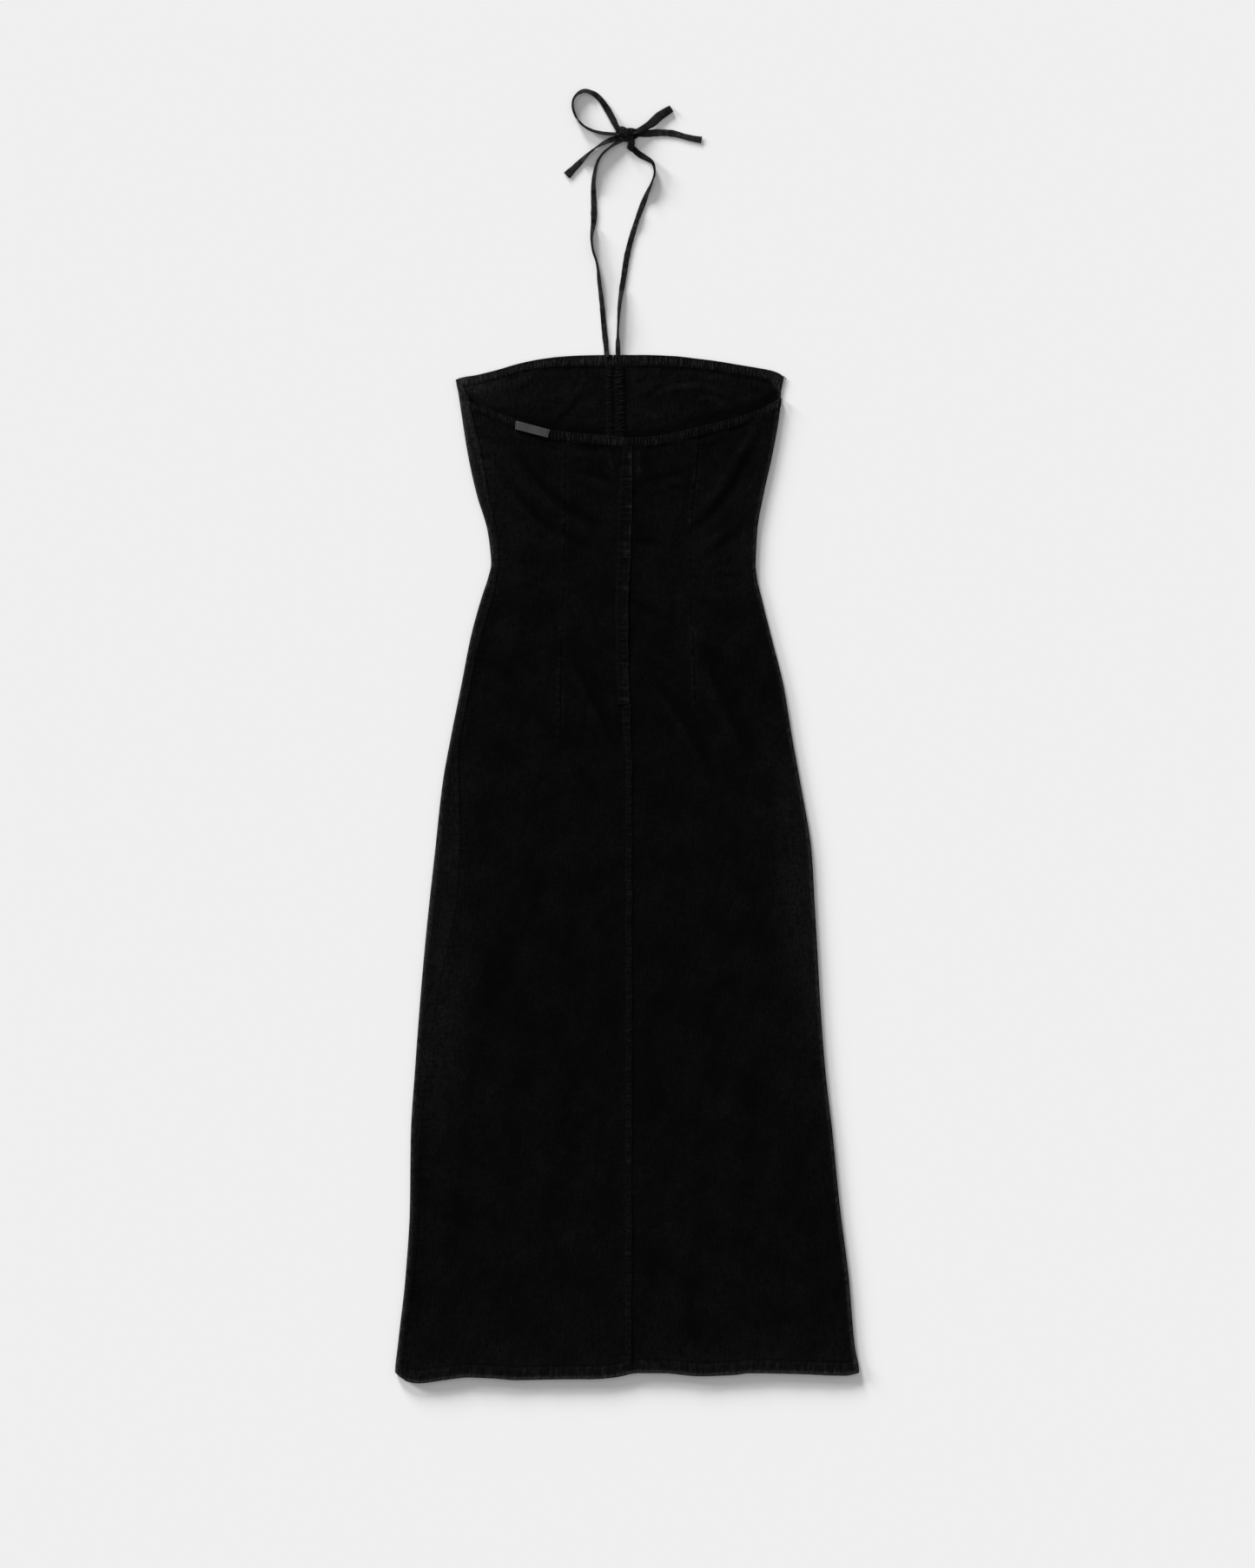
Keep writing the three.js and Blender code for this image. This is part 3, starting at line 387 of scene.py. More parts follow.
def ripple(x: Array, y: Array, length: float, seed: int, stretch: float = 1.0) -> Array:
    """Give an even, never repeating unevenness of about -2 to 2.

    Args:
        x: places across.
        y: places up the dress.
        length: usual length of one wave.
        seed: picks one of many patterns.
        stretch: how much longer the waves are up the dress than across.

    Returns:
        The unevenness at each place.
    """
    rng = np.random.default_rng(seed)
    total = np.zeros(np.broadcast(x, y).shape)
    for _ in range(11):
        angle = rng.uniform(0, math.tau)
        turns = math.tau / (length * rng.uniform(0.55, 1.8))
        phase = rng.uniform(0, math.tau)
        total += np.sin(turns * (x * math.cos(angle) + y / stretch * math.sin(angle)) + phase)
    return total / 2.35


def rubbed(spots: Sequence[Spot], x: Array, y: Array) -> Array:
    """Add up how faded rubbed spots are.

    Args:
        spots: rows of place, reach and amount.
        x: places across.
        y: places up the dress.

    Returns:
        Amount at each place.
    """
    total = np.zeros(x.shape)
    for at_x, at_y, reach_x, reach_y, amount in spots:
        total += amount * bell(x - at_x, reach_x) * bell(y - at_y, reach_y)
    return total


def tucked(x: Array, y: Array, reach: float) -> Array:
    """Give where the turned end of the front binding crosses the wrapped strip.

    Args:
        x: places across.
        y: places up the dress.
        reach: how far the line reaches to both sides.

    Returns:
        Shares from 0 to 1.
    """
    line = y - TUCK_AT[1] + TUCK_FALL * (x - TUCK_AT[0])
    return bell(line, reach) * eased(-x, *TUCK_ENDS)


@dataclass(frozen=True)
class Crease:
    """A soft trough, or a ridge where the depth is negative, with a lower swell beside it."""

    row: CREASE_ROW
    swell: float = 0.4
    swell_at: float = 1.7
    samples: int = 25

    def height(self, x: Array, y: Array) -> Array:
        """Give how far the crease moves the cloth.

        Args:
            x: places across.
            y: places up the dress.

        Returns:
            Height at each place, below zero in a trough.
        """
        ax, ay, mx, my, bx, by, width, depth = self.row
        share = np.linspace(0, 1, self.samples)
        pull_x, pull_y = 2 * mx - (ax + bx) / 2, 2 * my - (ay + by) / 2
        line_x = (1 - share) ** 2 * ax + 2 * share * (1 - share) * pull_x + share**2 * bx
        line_y = (1 - share) ** 2 * ay + 2 * share * (1 - share) * pull_y + share**2 * by
        run_x, run_y = np.gradient(line_x), np.gradient(line_y)
        length = np.hypot(run_x, run_y)
        run_x, run_y = run_x / length, run_y / length
        reach = 4.5 * width
        near = (
            (x > line_x.min() - reach) & (x < line_x.max() + reach)
            & (y > line_y.min() - reach) & (y < line_y.max() + reach)
        )
        out = np.zeros(x.shape)
        px, py = x[near], y[near]
        if not px.size:
            return out
        nearest = np.argmin((px[:, None] - line_x) ** 2 + (py[:, None] - line_y) ** 2, axis=1)
        dx, dy = px - line_x[nearest], py - line_y[nearest]
        along = dx * run_x[nearest] + dy * run_y[nearest]
        at = share[nearest] + along / (length.sum())
        signed = (dx * run_y[nearest] - dy * run_x[nearest]) / width
        taper = np.sin(math.pi * np.clip(at, 0, 1)) ** 0.75
        out[near] = depth * taper * (self.swell * bell(signed - self.swell_at, 1) - bell(signed, 1))
        return out


def creased(creases: Sequence[Crease], x: Array, y: Array) -> Array:
    """Add up the heights of creases.

    Args:
        creases: the creases.
        x: places across.
        y: places up the dress.

    Returns:
        Height at each place.
    """
    total = np.zeros(x.shape)
    for crease in creases:
        total += crease.height(x, y)
    return total


@dataclass(frozen=True)
class Puckers:
    """Uneven little ridges that stitching draws up across a strip."""

    length: float
    pitch: float
    seed: int
    slant: float = 0.6
    lean: float = 0.0
    least: float = 0.3

    def height(self, along: Array, across: Array) -> Array:
        """Give the ridges at places on the strip.

        Args:
            along: distance along the strip.
            across: share of its width, from 0 to 1.

        Returns:
            Heights of about 0 to 1.
        """
        rng = np.random.default_rng(self.seed)
        total = np.zeros(np.broadcast(along, across).shape)
        at = -self.pitch * rng.uniform(0, 1)
        while at < self.length + self.pitch:
            at += self.pitch * rng.uniform(0.6, 1.45)
            size = rng.uniform(self.least, 1.0)
            width = self.pitch * rng.uniform(0.17, 0.36)
            lean = self.lean + self.pitch * self.slant * rng.normal(0, 0.5)
            middle, reach = rng.uniform(0.3, 0.75), rng.uniform(0.3, 0.75)
            bend = self.pitch * rng.normal(0, 0.25)
            offset = along - at - lean * (across - 0.5) - bend * (across - 0.5) ** 2 * 4
            total += size * bell(offset, width) * bell(across - middle, reach)
        return total


class Layer(Enum):
    """Where a column of cloth lies."""

    OVER = "upper layer"
    UNDER = "lower layer"
    LEFT_FOLD = "round the left fold"
    RIGHT_FOLD = "round the right fold"


@dataclass(frozen=True)
class Column:
    """One line of cloth from the hem to the neck."""

    layer: Layer
    run: Line
    neck: Run
    turn: float = 0.0


@dataclass
class Lay:
    """How the dress lies: its outline, its two layers and the folds in them."""

    cloth: float = 1.2
    radius: float = 2.2
    hem_radius: float = 2.7
    loft: float = 1.1
    loft_reach: float = 55.0
    hem: float = 15.0
    seam_gap: float = 0.15
    hidden_gap: float = 0.4
    left: Run = field(default_factory=lambda: Run(LEFT_SIDE))
    right: Run = field(default_factory=lambda: Run(RIGHT_SIDE))
    seam_on_top: Run = field(default_factory=lambda: Run(SEAM_ON_TOP))
    seam_under: Run = field(default_factory=lambda: Run(SEAM_UNDER))
    hem_line: Run = field(default_factory=lambda: Run(HEM_LINE))
    front_neck: Run = field(default_factory=lambda: Run(FRONT_NECK))
    wrapped_neck: Run = field(default_factory=lambda: Run(WRAPPED_NECK))
    back_neck: Run = field(default_factory=lambda: Run(BACK_NECK))
    front_seam: Run = field(default_factory=lambda: Run(FRONT_SEAM))
    back_seam: Run = field(default_factory=lambda: Run(BACK_SEAM))
    left_dart: Run = field(default_factory=lambda: Run(LEFT_DART))
    right_dart: Run = field(default_factory=lambda: Run(RIGHT_DART))
    front_width: Run = field(default_factory=lambda: Run(FRONT_BINDING))
    back_width: Run = field(default_factory=lambda: Run(BACK_BINDING))
    back_creases: list[Crease] = field(
        default_factory=lambda: [Crease(row) for row in (*BACK_FOLDS, *BACK_WRINKLES)]
    )
    front_creases: list[Crease] = field(
        default_factory=lambda: [Crease(row) for row in FRONT_FOLDS]
    )

    def left_seam(self, y: Array) -> Array:
        """Give where the left side seam lies on top."""
        return self.left(y) + self.seam_on_top(y)

    def right_seam(self, y: Array) -> Array:
        """Give where the right side seam lies underneath."""
        return self.right(y) - self.seam_under(y)

    def left_dart_share(self, y: Array) -> Array:
        """Give how plain the left dart shows."""
        upper = 0.3 * eased(y, 350, 380) * (1 - eased(y, 455, 480))
        return eased(y, 140, 180) * (1 - 0.6 * eased(y, 240, 300) + upper)

    def right_dart_share(self, y: Array) -> Array:
        """Give how plain the right dart shows."""
        return eased(y, 175, 205) * (1 - 0.6 * eased(y, 250, 300) + 0.5 * eased(y, 395, 415))

    def seam_share(self, y: Array) -> Array:
        """Give how plain the left side seam shows."""
        return 0.12 + 0.32 * eased(y, -60, 90) + 0.56 * eased(y, 462, 500)

    def groove(self, away: Array, depth: float) -> Array:
        """Give the dip of a stitched seam and the soft crest on its left side."""
        return 0.5 * depth * bell(away + 3.2, 1.9) - depth * bell(away, 1.15)

    def seams(self, x: Array, y: Array) -> Array:
        """Give the grooves of the darts and seams of the upper layer.

        Args:
            x: places across.
            y: places up the dress.

        Returns:
            Height at each place.
        """
        height = self.groove(x - self.left_dart(y), 0.5) * self.left_dart_share(y)
        height += self.groove(x - self.right_dart(y), 0.5) * self.right_dart_share(y)
        height += self.groove(x - self.left_seam(y), 0.95) * self.seam_share(y)
        return height

    def top(self, x: Array, y: Array, radius: Array) -> Array:
        """Give the height of the outside of the upper layer.

        Args:
            x: places across.
            y: places up the dress.
            radius: radius of the folded sides there.

        Returns:
            Height above the surface.
        """
        inside = np.minimum(x - self.left(y), self.right(y) - x) - radius
        soft = eased(inside, 0, self.loft_reach / 3)
        upper = eased(y, 120, 260)
        waves = (0.16 + 0.06 * upper) * ripple(x, y, 60, 3, 1.0 + 0.9 * (1 - float(np.mean(upper))))
        waves += 0.07 * ripple(x, y, 17, 4)
        folds = creased(self.back_creases, x, y) + waves
        height = 2 * radius + self.loft * eased(inside, 0, self.loft_reach) + soft * folds
        casing = eased(y, 420, 450) * (np.abs(x - self.front_seam(y)) < 26)
        height = np.maximum(height, 2 * self.radius - self.loft + self.loft * casing)
        return height + self.seams(x, y)

    def lift(self, x: Array, y: Array) -> Array:
        """Give how far the lower layer stands off the surface, above the back neck edge."""
        shown = eased(y, 507, 532)
        off_casing = eased(np.abs(x - self.front_seam(y)), 14, 34)
        folds = creased(self.front_creases, x, y) + 0.16 * ripple(x, y, 26, 8)
        folds += 0.1 * ripple(x, y, 11, 9)
        return shown * (0.25 + 0.75 * off_casing) * np.maximum(0.12 + folds, 0)

    def radius_at(self, rise: Array) -> Array:
        """Give the radius of the folded sides, which is larger at the doubled hem."""
        return self.hem_radius + (self.radius - self.hem_radius) * eased(rise, 12, 22)

    def place(self, column: Column, y: Array, depth: Array, rise: Array) -> Array:
        """Find points on a column of cloth.

        Args:
            column: the column.
            y: heights up the dress.
            depth: how deep each point lies under the outside of the cloth.
            rise: how far each point is above the hem edge.

        Returns:
            One point a row.
        """
        radius = self.radius_at(rise)
        if column.layer in (Layer.LEFT_FOLD, Layer.RIGHT_FOLD):
            left = column.layer is Layer.LEFT_FOLD
            sign = 1 if left else -1
            edge = self.left(y) if left else self.right(y)
            reach = radius - depth
            x = edge + sign * (radius + reach * math.cos(column.turn))
            return np.stack([x, y, radius + reach * math.sin(column.turn)], axis=1)
        x = column.run(y, radius)
        if column.layer is Layer.UNDER:
            return np.stack([x, y, self.lift(x, y) + depth], axis=1)
        return np.stack([x, y, self.top(x, y, radius) - depth], axis=1)

    def edge(self, column: Column, y: Array) -> Array:
        """Give where a column lies across the dress."""
        inset = self.radius * (1 + math.cos(column.turn))
        if column.layer is Layer.LEFT_FOLD:
            return self.left(y) + inset
        if column.layer is Layer.RIGHT_FOLD:
            return self.right(y) - inset
        return column.run(y, np.full(y.shape, self.radius))

    def neck_of(self, column: Column) -> float:
        """Give the height of the neck edge on a column."""
        y = np.array([column.neck.value[0]])
        for _ in range(10):
            y = column.neck(self.edge(column, y))
        return float(y[0])

    def hem_of(self, column: Column) -> float:
        """Give the height of the hem edge on a column."""
        return float(self.hem_line(self.edge(column, np.array([-600.0])))[0])

    def binding_of(self, column: Column) -> float:
        """Give the width of the neck binding on a column."""
        widths = self.back_width if column.neck is self.back_neck else self.front_width
        return float(widths(self.edge(column, np.array([self.neck_of(column)])))[0])


def between(start: Line, end: Line, share: float) -> Line:
    """Make a line at a share of the way between two others.

    Args:
        start: line where the share is 0.
        end: line where the share is 1.
        share: the share.

    Returns:
        Where that line lies across the dress, from its height and the fold radius.
    """

    def run(y: Array, radius: Array) -> Array:
        """Give the place of the line across the dress."""
        return start(y, radius) + share * (end(y, radius) - start(y, radius))

    return run


def drop_selection() -> None:
    """Leave object mode with nothing selected."""
    if bpy.context.object is not None and bpy.context.object.mode != "OBJECT":
        bpy.ops.object.mode_set(mode="OBJECT")
    bpy.ops.object.select_all(action="DESELECT")


def keep_marks(piece: bpy.types.Object, marks: dict[str, Array]) -> None:
    """Keep values at the points of a piece, for its finish to read.

    Args:
        piece: the piece.
        marks: values by name.
    """
    for mark, values in marks.items():
        layer = piece.data.attributes.new(mark, "FLOAT", "POINT")
        layer.data.foreach_set("value", values.astype(np.float32).ravel())


def lay_grid(
    name: str, points: Array, marks: dict[str, Array], uv: Array | None = None
) -> bpy.types.Object:
    """Add a grid and lay its points where they belong.

    Args:
        name: name of the piece.
        points: rows of columns of points, in millimetres.
        marks: values to keep at each point, by name.
        uv: rows of columns of pattern places, in metres.

    Returns:
        The new object, at the origin.
    """
    drop_selection()
    rows, columns = points.shape[:2]
    bpy.ops.mesh.primitive_grid_add(
        x_subdivisions=columns - 1, y_subdivisions=rows - 1, size=1, location=(0, 0, 0)
    )
    piece = bpy.context.object
    piece.name = name
    piece.data.name = name
    flat = (points.reshape(-1, 3) * METRE).astype(np.float32)
    piece.data.vertices.foreach_set("co", flat.ravel())
    keep_marks(piece, marks)
    if uv is not None:
        corners = np.zeros(len(piece.data.loops), np.int32)
        piece.data.loops.foreach_get("vertex_index", corners)
        places = uv.reshape(-1, 2)[corners].astype(np.float32)
        piece.data.uv_layers.active.data.foreach_set("uv", places.ravel())
    piece.data.update()
    return piece


def edit(piece: bpy.types.Object) -> None:
    """Open a piece in edit mode with all of it selected."""
    drop_selection()
    piece.select_set(True)
    bpy.context.view_layer.objects.active = piece
    bpy.ops.object.mode_set(mode="EDIT")
    bpy.ops.mesh.select_all(action="SELECT")


def close_tube(piece: bpy.types.Object) -> None:
    """Weld a rolled-up grid along its side, close its ends and face it outwards."""
    edit(piece)
    bpy.ops.mesh.remove_doubles(threshold=1e-6)
    bpy.ops.mesh.select_all(action="SELECT")
    bpy.ops.mesh.fill_holes(sides=0)
    bpy.ops.mesh.select_all(action="SELECT")
    bpy.ops.mesh.normals_make_consistent(inside=False)
    bpy.ops.object.mode_set(mode="OBJECT")


def smooth(piece: bpy.types.Object, degrees: float = 50.0) -> None:
    """Shade a piece smoothly up to an angle between its faces."""
    drop_selection()
    piece.select_set(True)
    bpy.context.view_layer.objects.active = piece
    bpy.ops.object.shade_smooth_by_angle(angle=math.radians(degrees))


def apply_modifier(piece: bpy.types.Object, kind: str, **settings: object) -> None:
    """Add a modifier and apply it.

    Args:
        piece: the piece.
        kind: the type of modifier.
        settings: values of the modifier.
    """
    drop_selection()
    piece.select_set(True)
    bpy.context.view_layer.objects.active = piece
    modifier = piece.modifiers.new(kind.title(), kind)
    for name, value in settings.items():
        setattr(modifier, name, value)
    bpy.ops.object.modifier_apply(modifier=modifier.name)


class Shader:
    """A material and short ways to add nodes to it."""

    def __init__(self, name: str, roughness: float, gloss: float) -> None:
        """Start a material.

        Args:
            name: name of the finish.
            roughness: roughness of its surface.
            gloss: strength of its mirror-like share.
        """
        self.material = bpy.data.materials.new(name)
        self.material.use_nodes = True
        self.tree = self.material.node_tree
        self.surface = self.tree.nodes["Principled BSDF"]
        self.surface.inputs["Roughness"].default_value = roughness
        self.surface.inputs["Specular IOR Level"].default_value = gloss

    def node(self, kind: str, values: dict[str | int, object], **settings: object) -> bpy.types.Node:
        """Add a node.

        Args:
            kind: the node's type.
            values: numbers or sockets for its inputs.
            settings: properties of the node.

        Returns:
            The node.
        """
        node = self.tree.nodes.new(kind)
        for name, value in settings.items():
            setattr(node, name, value)
        for name, value in values.items():
            if isinstance(value, bpy.types.NodeSocket):
                self.tree.links.new(value, node.inputs[name])
            else:
                node.inputs[name].default_value = value
        return node

    def maths(self, operation: str, first: object, second: object = 0.0) -> bpy.types.NodeSocket:
        """Add a Math node.

        Args:
            operation: what it does.
            first: its first number or socket.
            second: its second number or socket.

        Returns:
            Its result.
        """
        return self.node("ShaderNodeMath", {0: first, 1: second}, operation=operation).outputs[0]

    def places(self, stretch: tuple[float, float, float], turn: float, uv: bool) -> bpy.types.NodeSocket:
        """Give places on the piece, stretched and turned.

        Args:
            stretch: scale along each axis.
            turn: turn about the vertical, in degrees.
            uv: whether the piece's own pattern places are used.

        Returns:
            The places.
        """
        source = self.node("ShaderNodeTexCoord", {}).outputs["UV" if uv else "Object"]
        return self.node(
            "ShaderNodeMapping",
            {"Vector": source, "Rotation": (0, 0, math.radians(turn)), "Scale": stretch},
        ).outputs[0]

    def noise(
        self, stretch: tuple[float, float, float], detail: float = 2.0, turn: float = 0.0,
        uv: bool = False,
    ) -> bpy.types.NodeSocket:
        """Give a cloudy pattern.

        Args:
            stretch: clouds a metre along each axis.
            detail: how fine its edges are.
            turn: turn about the vertical, in degrees.
            uv: whether the piece's own pattern places are used.

        Returns:
            Values of about 0.25 to 0.75.
        """
        place = self.places(stretch, turn, uv)
        return self.node(
            "ShaderNodeTexNoise", {"Vector": place, "Scale": 1.0, "Detail": detail}
        ).outputs["Fac"]

    def bands(self, pitch: float, turn: float, uv: bool) -> bpy.types.NodeSocket:
        """Give even bands.

        Args:
            pitch: width of one band in millimetres.
            turn: turn about the vertical, in degrees.
            uv: whether the piece's own pattern places are used.

        Returns:
            Values from 0 to 1.
        """
        scale = math.tau / (20 * pitch * METRE)
        return self.node(
            "ShaderNodeTexWave",
            {"Vector": self.places((1, 1, 1), turn, uv), "Scale": scale, "Distortion": 0.6},
        ).outputs["Fac"]

    def mark(self, name: str) -> bpy.types.NodeSocket:
        """Give a value that is kept at the points of the piece."""
        return self.node("ShaderNodeAttribute", {}, attribute_name=name).outputs["Fac"]

    def blend(self, share: object, low: Colour, high: Colour) -> bpy.types.NodeSocket:
        """Mix two colours by a share."""
        node = self.node("ShaderNodeMix", {0: share, 6: low, 7: high}, data_type="RGBA")
        return node.outputs[2]

    def spread(
        self, value: object, low: float, high: float, to_low: float = 0.0, to_high: float = 1.0
    ) -> bpy.types.NodeSocket:
        """Stretch a value from one range to another, and hold it at the ends.

        Args:
            value: the value.
            low: where its range starts.
            high: where its range ends.
            to_low: what it becomes at the start.
            to_high: what it becomes at the end.

        Returns:
            The stretched value.
        """
        ends = {"From Min": low, "From Max": high, "To Min": to_low, "To Max": to_high}
        return self.node("ShaderNodeMapRange", {"Value": value, **ends}).outputs[0]

    def total(self, *parts: tuple[bpy.types.NodeSocket, float]) -> bpy.types.NodeSocket:
        """Add up values, each by its own weight.

        Args:
            parts: pairs of a value and its weight.

        Returns:
            The sum.
        """
        first, *others = [self.maths("MULTIPLY", value, weight) for value, weight in parts]
        for value in others:
            first = self.maths("ADD", first, value)
        return first

    def cover(
        self, colour: bpy.types.NodeSocket, height: bpy.types.NodeSocket, strength: float, depth: float
    ) -> bpy.types.Material:
        """Give the surface its colour and its relief.

        Args:
            colour: the colour.
            height: the relief.
            strength: how strongly the relief shows.
            depth: depth of the relief in metres.

        Returns:
            The material.
        """
        bump = self.node(
            "ShaderNodeBump", {"Height": height, "Strength": strength, "Distance": depth}
        )
        self.tree.links.new(colour, self.surface.inputs["Base Color"])
        self.tree.links.new(bump.outputs[0], self.surface.inputs["Normal"])
        return self.material


@dataclass(frozen=True)
class ClothFinish:
    """Washed black cotton twill that has faded where it stands out."""

    name: str = "washed_black_twill"
    dark: Colour = (0.0013, 0.0013, 0.0013, 1)
    faded: Colour = (0.0233, 0.0234, 0.0233, 1)
    roughness: float = 0.95
    gloss: float = 0.01
    twill: float = 0.85
    uv: bool = False
    crumple: float = 1.0
    grain: tuple[float, float, float] = (0.42, 0.26, 0.32)
    weave: tuple[float, float, float] = (0.08, 0.03, 0.16)
    even_fade: float = 0.022
    strength: float = 0.9
    depth: float = 0.0011

    def material(self) -> bpy.types.Material:
        """Make the material.

        Returns:
            The material.
        """
        shader = Shader(self.name, self.roughness, self.gloss)
        uv = self.uv
        streaks = shader.noise((720, 150, 300), 3, 0, uv)
        slubs = shader.noise((210, 640, 300), 3, 0, uv)
        specks = shader.noise((900, 900, 900), 2, 0, uv)
        clouds = shader.noise((17, 11, 17), 3, 0, uv)
        grain = shader.total(*zip((streaks, slubs, specks), self.grain))
        worn = shader.spread(grain, 0.4, 0.62, 0.25, 1.75)
        patchy = shader.spread(clouds, 0.35, 0.68, 0.75, 1.25)
        base = shader.maths("MULTIPLY", patchy, self.even_fade)
        # The kept fade mark holds painted light and shade as well as real fading.
        fade = shader.maths("MULTIPLY", shader.maths("ADD", shader.mark("fade"), base), worn)
        colour = shader.blend(shader.spread(fade, 0, 1), self.dark, self.faded)
        twill = shader.bands(self.twill, 62, uv)
        weft = shader.bands(self.twill * 0.6, 90, uv)
        weave = shader.total(*zip((twill, weft, grain), self.weave))
        up, across = (
            shader.maths("MULTIPLY", shader.mark(mark), shader.noise(stretch, 1.5, 0, uv))
            for mark, stretch in (("gather_up", (210, 34, 100)), ("gather_across", (34, 210, 100)))
        )
        soft = shader.maths("MULTIPLY", shader.noise((70, 55, 70), 2, 0, uv), 0.9 * self.crumple)
        relief = shader.maths("ADD", shader.maths("ADD", up, across), shader.maths("ADD", weave, soft))
        return shader.cover(colour, relief, self.strength, self.depth)


@dataclass(frozen=True)
class LabelFinish:
    """Dark grey woven satin with fine crosswise ribs."""

    name: str = "woven_label_satin"
    low: Colour = (0.036, 0.036, 0.037, 1)
    high: Colour = (0.062, 0.062, 0.064, 1)
    roughness: float = 0.62
    gloss: float = 0.12

    def material(self) -> bpy.types.Material:
        """Make the material.

        Returns:
            The material.
        """
        shader = Shader(self.name, self.roughness, self.gloss)
        ribs = shader.bands(0.5, 0, True)
        ends = shader.bands(0.9, 90, True)
        threads = shader.noise((300, 1500, 100), 2, 0, True)
        tone = shader.total((ribs, 0.35), (threads, 0.7), (ends, 0.15))
        share = shader.spread(shader.maths("ADD", tone, shader.mark("fade")), 0.2, 1.1)
        return shader.cover(shader.blend(share, self.low, self.high), tone, 0.35, 0.0003)


@dataclass(frozen=True)
class ThreadFinish:
    """Dull black sewing thread with a slight twist."""

    name: str = "sewing_thread"
    low: Colour = (0.0012, 0.0012, 0.0012, 1)
    high: Colour = (0.0052, 0.0052, 0.0053, 1)
    roughness: float = 0.75
    gloss: float = 0.03

    def material(self) -> bpy.types.Material:
        """Make the material.

        Returns:
            The material.
        """
        shader = Shader(self.name, self.roughness, self.gloss)
        twist = shader.noise((1900, 1900, 1900), 1)
        colour = shader.blend(shader.spread(twist, 0.35, 0.65), self.low, self.high)
        return shader.cover(colour, twist, 0.4, 0.0001)


@dataclass(frozen=True)
class Finishes:
    """The materials of the dress."""

    cloth: bpy.types.Material
    tie: bpy.types.Material
    label: bpy.types.Material
    thread: bpy.types.Material


def dress_piece(
    piece: bpy.types.Object, material: bpy.types.Material, slot: str, *nodes: str
) -> bpy.types.Object:
    """Give a finished piece its material and its body, and hide the solids that it stands for.

    Args:
        piece: the piece.
        material: its finish.
        slot: not used.
        nodes: the solids.

    Returns:
        The piece.
    """
    piece.data.materials.clear()
    piece.data.materials.append(material)
    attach(piece, BODY)
    if nodes:
        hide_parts(*nodes)
    LOG.info("%s: %d faces", piece.name, len(piece.data.polygons))
    return piece


@dataclass
class Marks:
    """How faded and how puckered the cloth is at each point; the fade also carries painted light and shade.
    """

    fade: Array
    up: Array
    across: Array

    def values(self) -> dict[str, Array]:
        """Give the values by the names that the finish reads."""
        fade = np.clip(self.fade, 0, 1)
        return {"fade": fade, "gather_up": self.up, "gather_across": self.across}

    @classmethod
    def even(cls, fade: Array, up: float, across: float) -> "Marks":
        """Mark a piece that is puckered evenly."""
        return cls(fade, np.full(fade.shape, up), np.full(fade.shape, across))


def roll(name: str, grid: Array, marks: Marks, uv: Array | None = None) -> bpy.types.Object:
    """Lay a grid whose last column lies on its first, and close it into a smooth tube.

    Args:
        name: name of the piece.
        grid: rows of columns of points, in millimetres.
        marks: how faded and how puckered it is.
        uv: rows of columns of pattern places, in metres.

    Returns:
        The tube.
    """
    piece = lay_grid(name, grid, marks.values(), uv)
    close_tube(piece)
    smooth(piece, 60)
    return piece


@dataclass
class Stitching:
    """A row of single stitches, all joined in one mesh."""

    name: str
    length: float = 2.3
    width: float = 0.5
    height: float = 0.34
    spots: list[tuple[Array, Array]] = field(default_factory=list)

    def along(self, line: Array, pitch: float = 3.1, lift: float = 0.05) -> None:
        """Set stitches along a line.

        Args:
            line: points that the row follows.
            pitch: distance from one stitch to the next.
            lift: how far the stitches lie above the line.
        """
        steps = np.linalg.norm(np.diff(line, axis=0), axis=1)
        run = np.concatenate([[0], np.cumsum(steps)])
        starts = np.arange(pitch / 2, run[-1] - pitch / 2, pitch)
        for at in starts:
            ends = [
                np.array([np.interp(s, run, line[:, axis]) for axis in range(3)])
                for s in (at - self.length / 2, at + self.length / 2)
            ]
            middle = (ends[0] + ends[1]) / 2 + np.array([0, 0, lift])
            self.spots.append((middle, ends[1] - ends[0]))

    def build(self, finishes: Finishes) -> bpy.types.Object:
        """Model one stitch, copy it to each spot and join the copies.

        Args:
            finishes: the materials.

        Returns:
            The joined stitches.
        """
        drop_selection()
        bpy.ops.mesh.primitive_ico_sphere_add(subdivisions=1, radius=1, location=(0, 0, 0))
        piece = bpy.context.object
        piece.name = self.name
        shape = np.array([v.co for v in piece.data.vertices])
        faces = np.array([list(p.vertices) for p in piece.data.polygons])
        points, corners = [], []
        for count, (middle, run) in enumerate(self.spots):
            along = run / np.linalg.norm(run)
            across = np.cross([0, 0, 1], along)
            across /= np.linalg.norm(across)
            up = np.cross(along, across)
            size = np.array([self.length / 2, self.width / 2, self.height / 2])
            points.append(middle + (shape * size) @ np.stack([along, across, up]))
            corners.append(faces + count * len(shape))
        mesh = bpy.data.meshes.new(self.name)
        mesh.from_pydata(
            (np.concatenate(points) * METRE).tolist(), [], np.concatenate(corners).tolist()
        )
        old = piece.data
        piece.data = mesh
        bpy.data.meshes.remove(old)
        smooth(piece, 80)
        return dress_piece(piece, finishes.thread, "cloth")


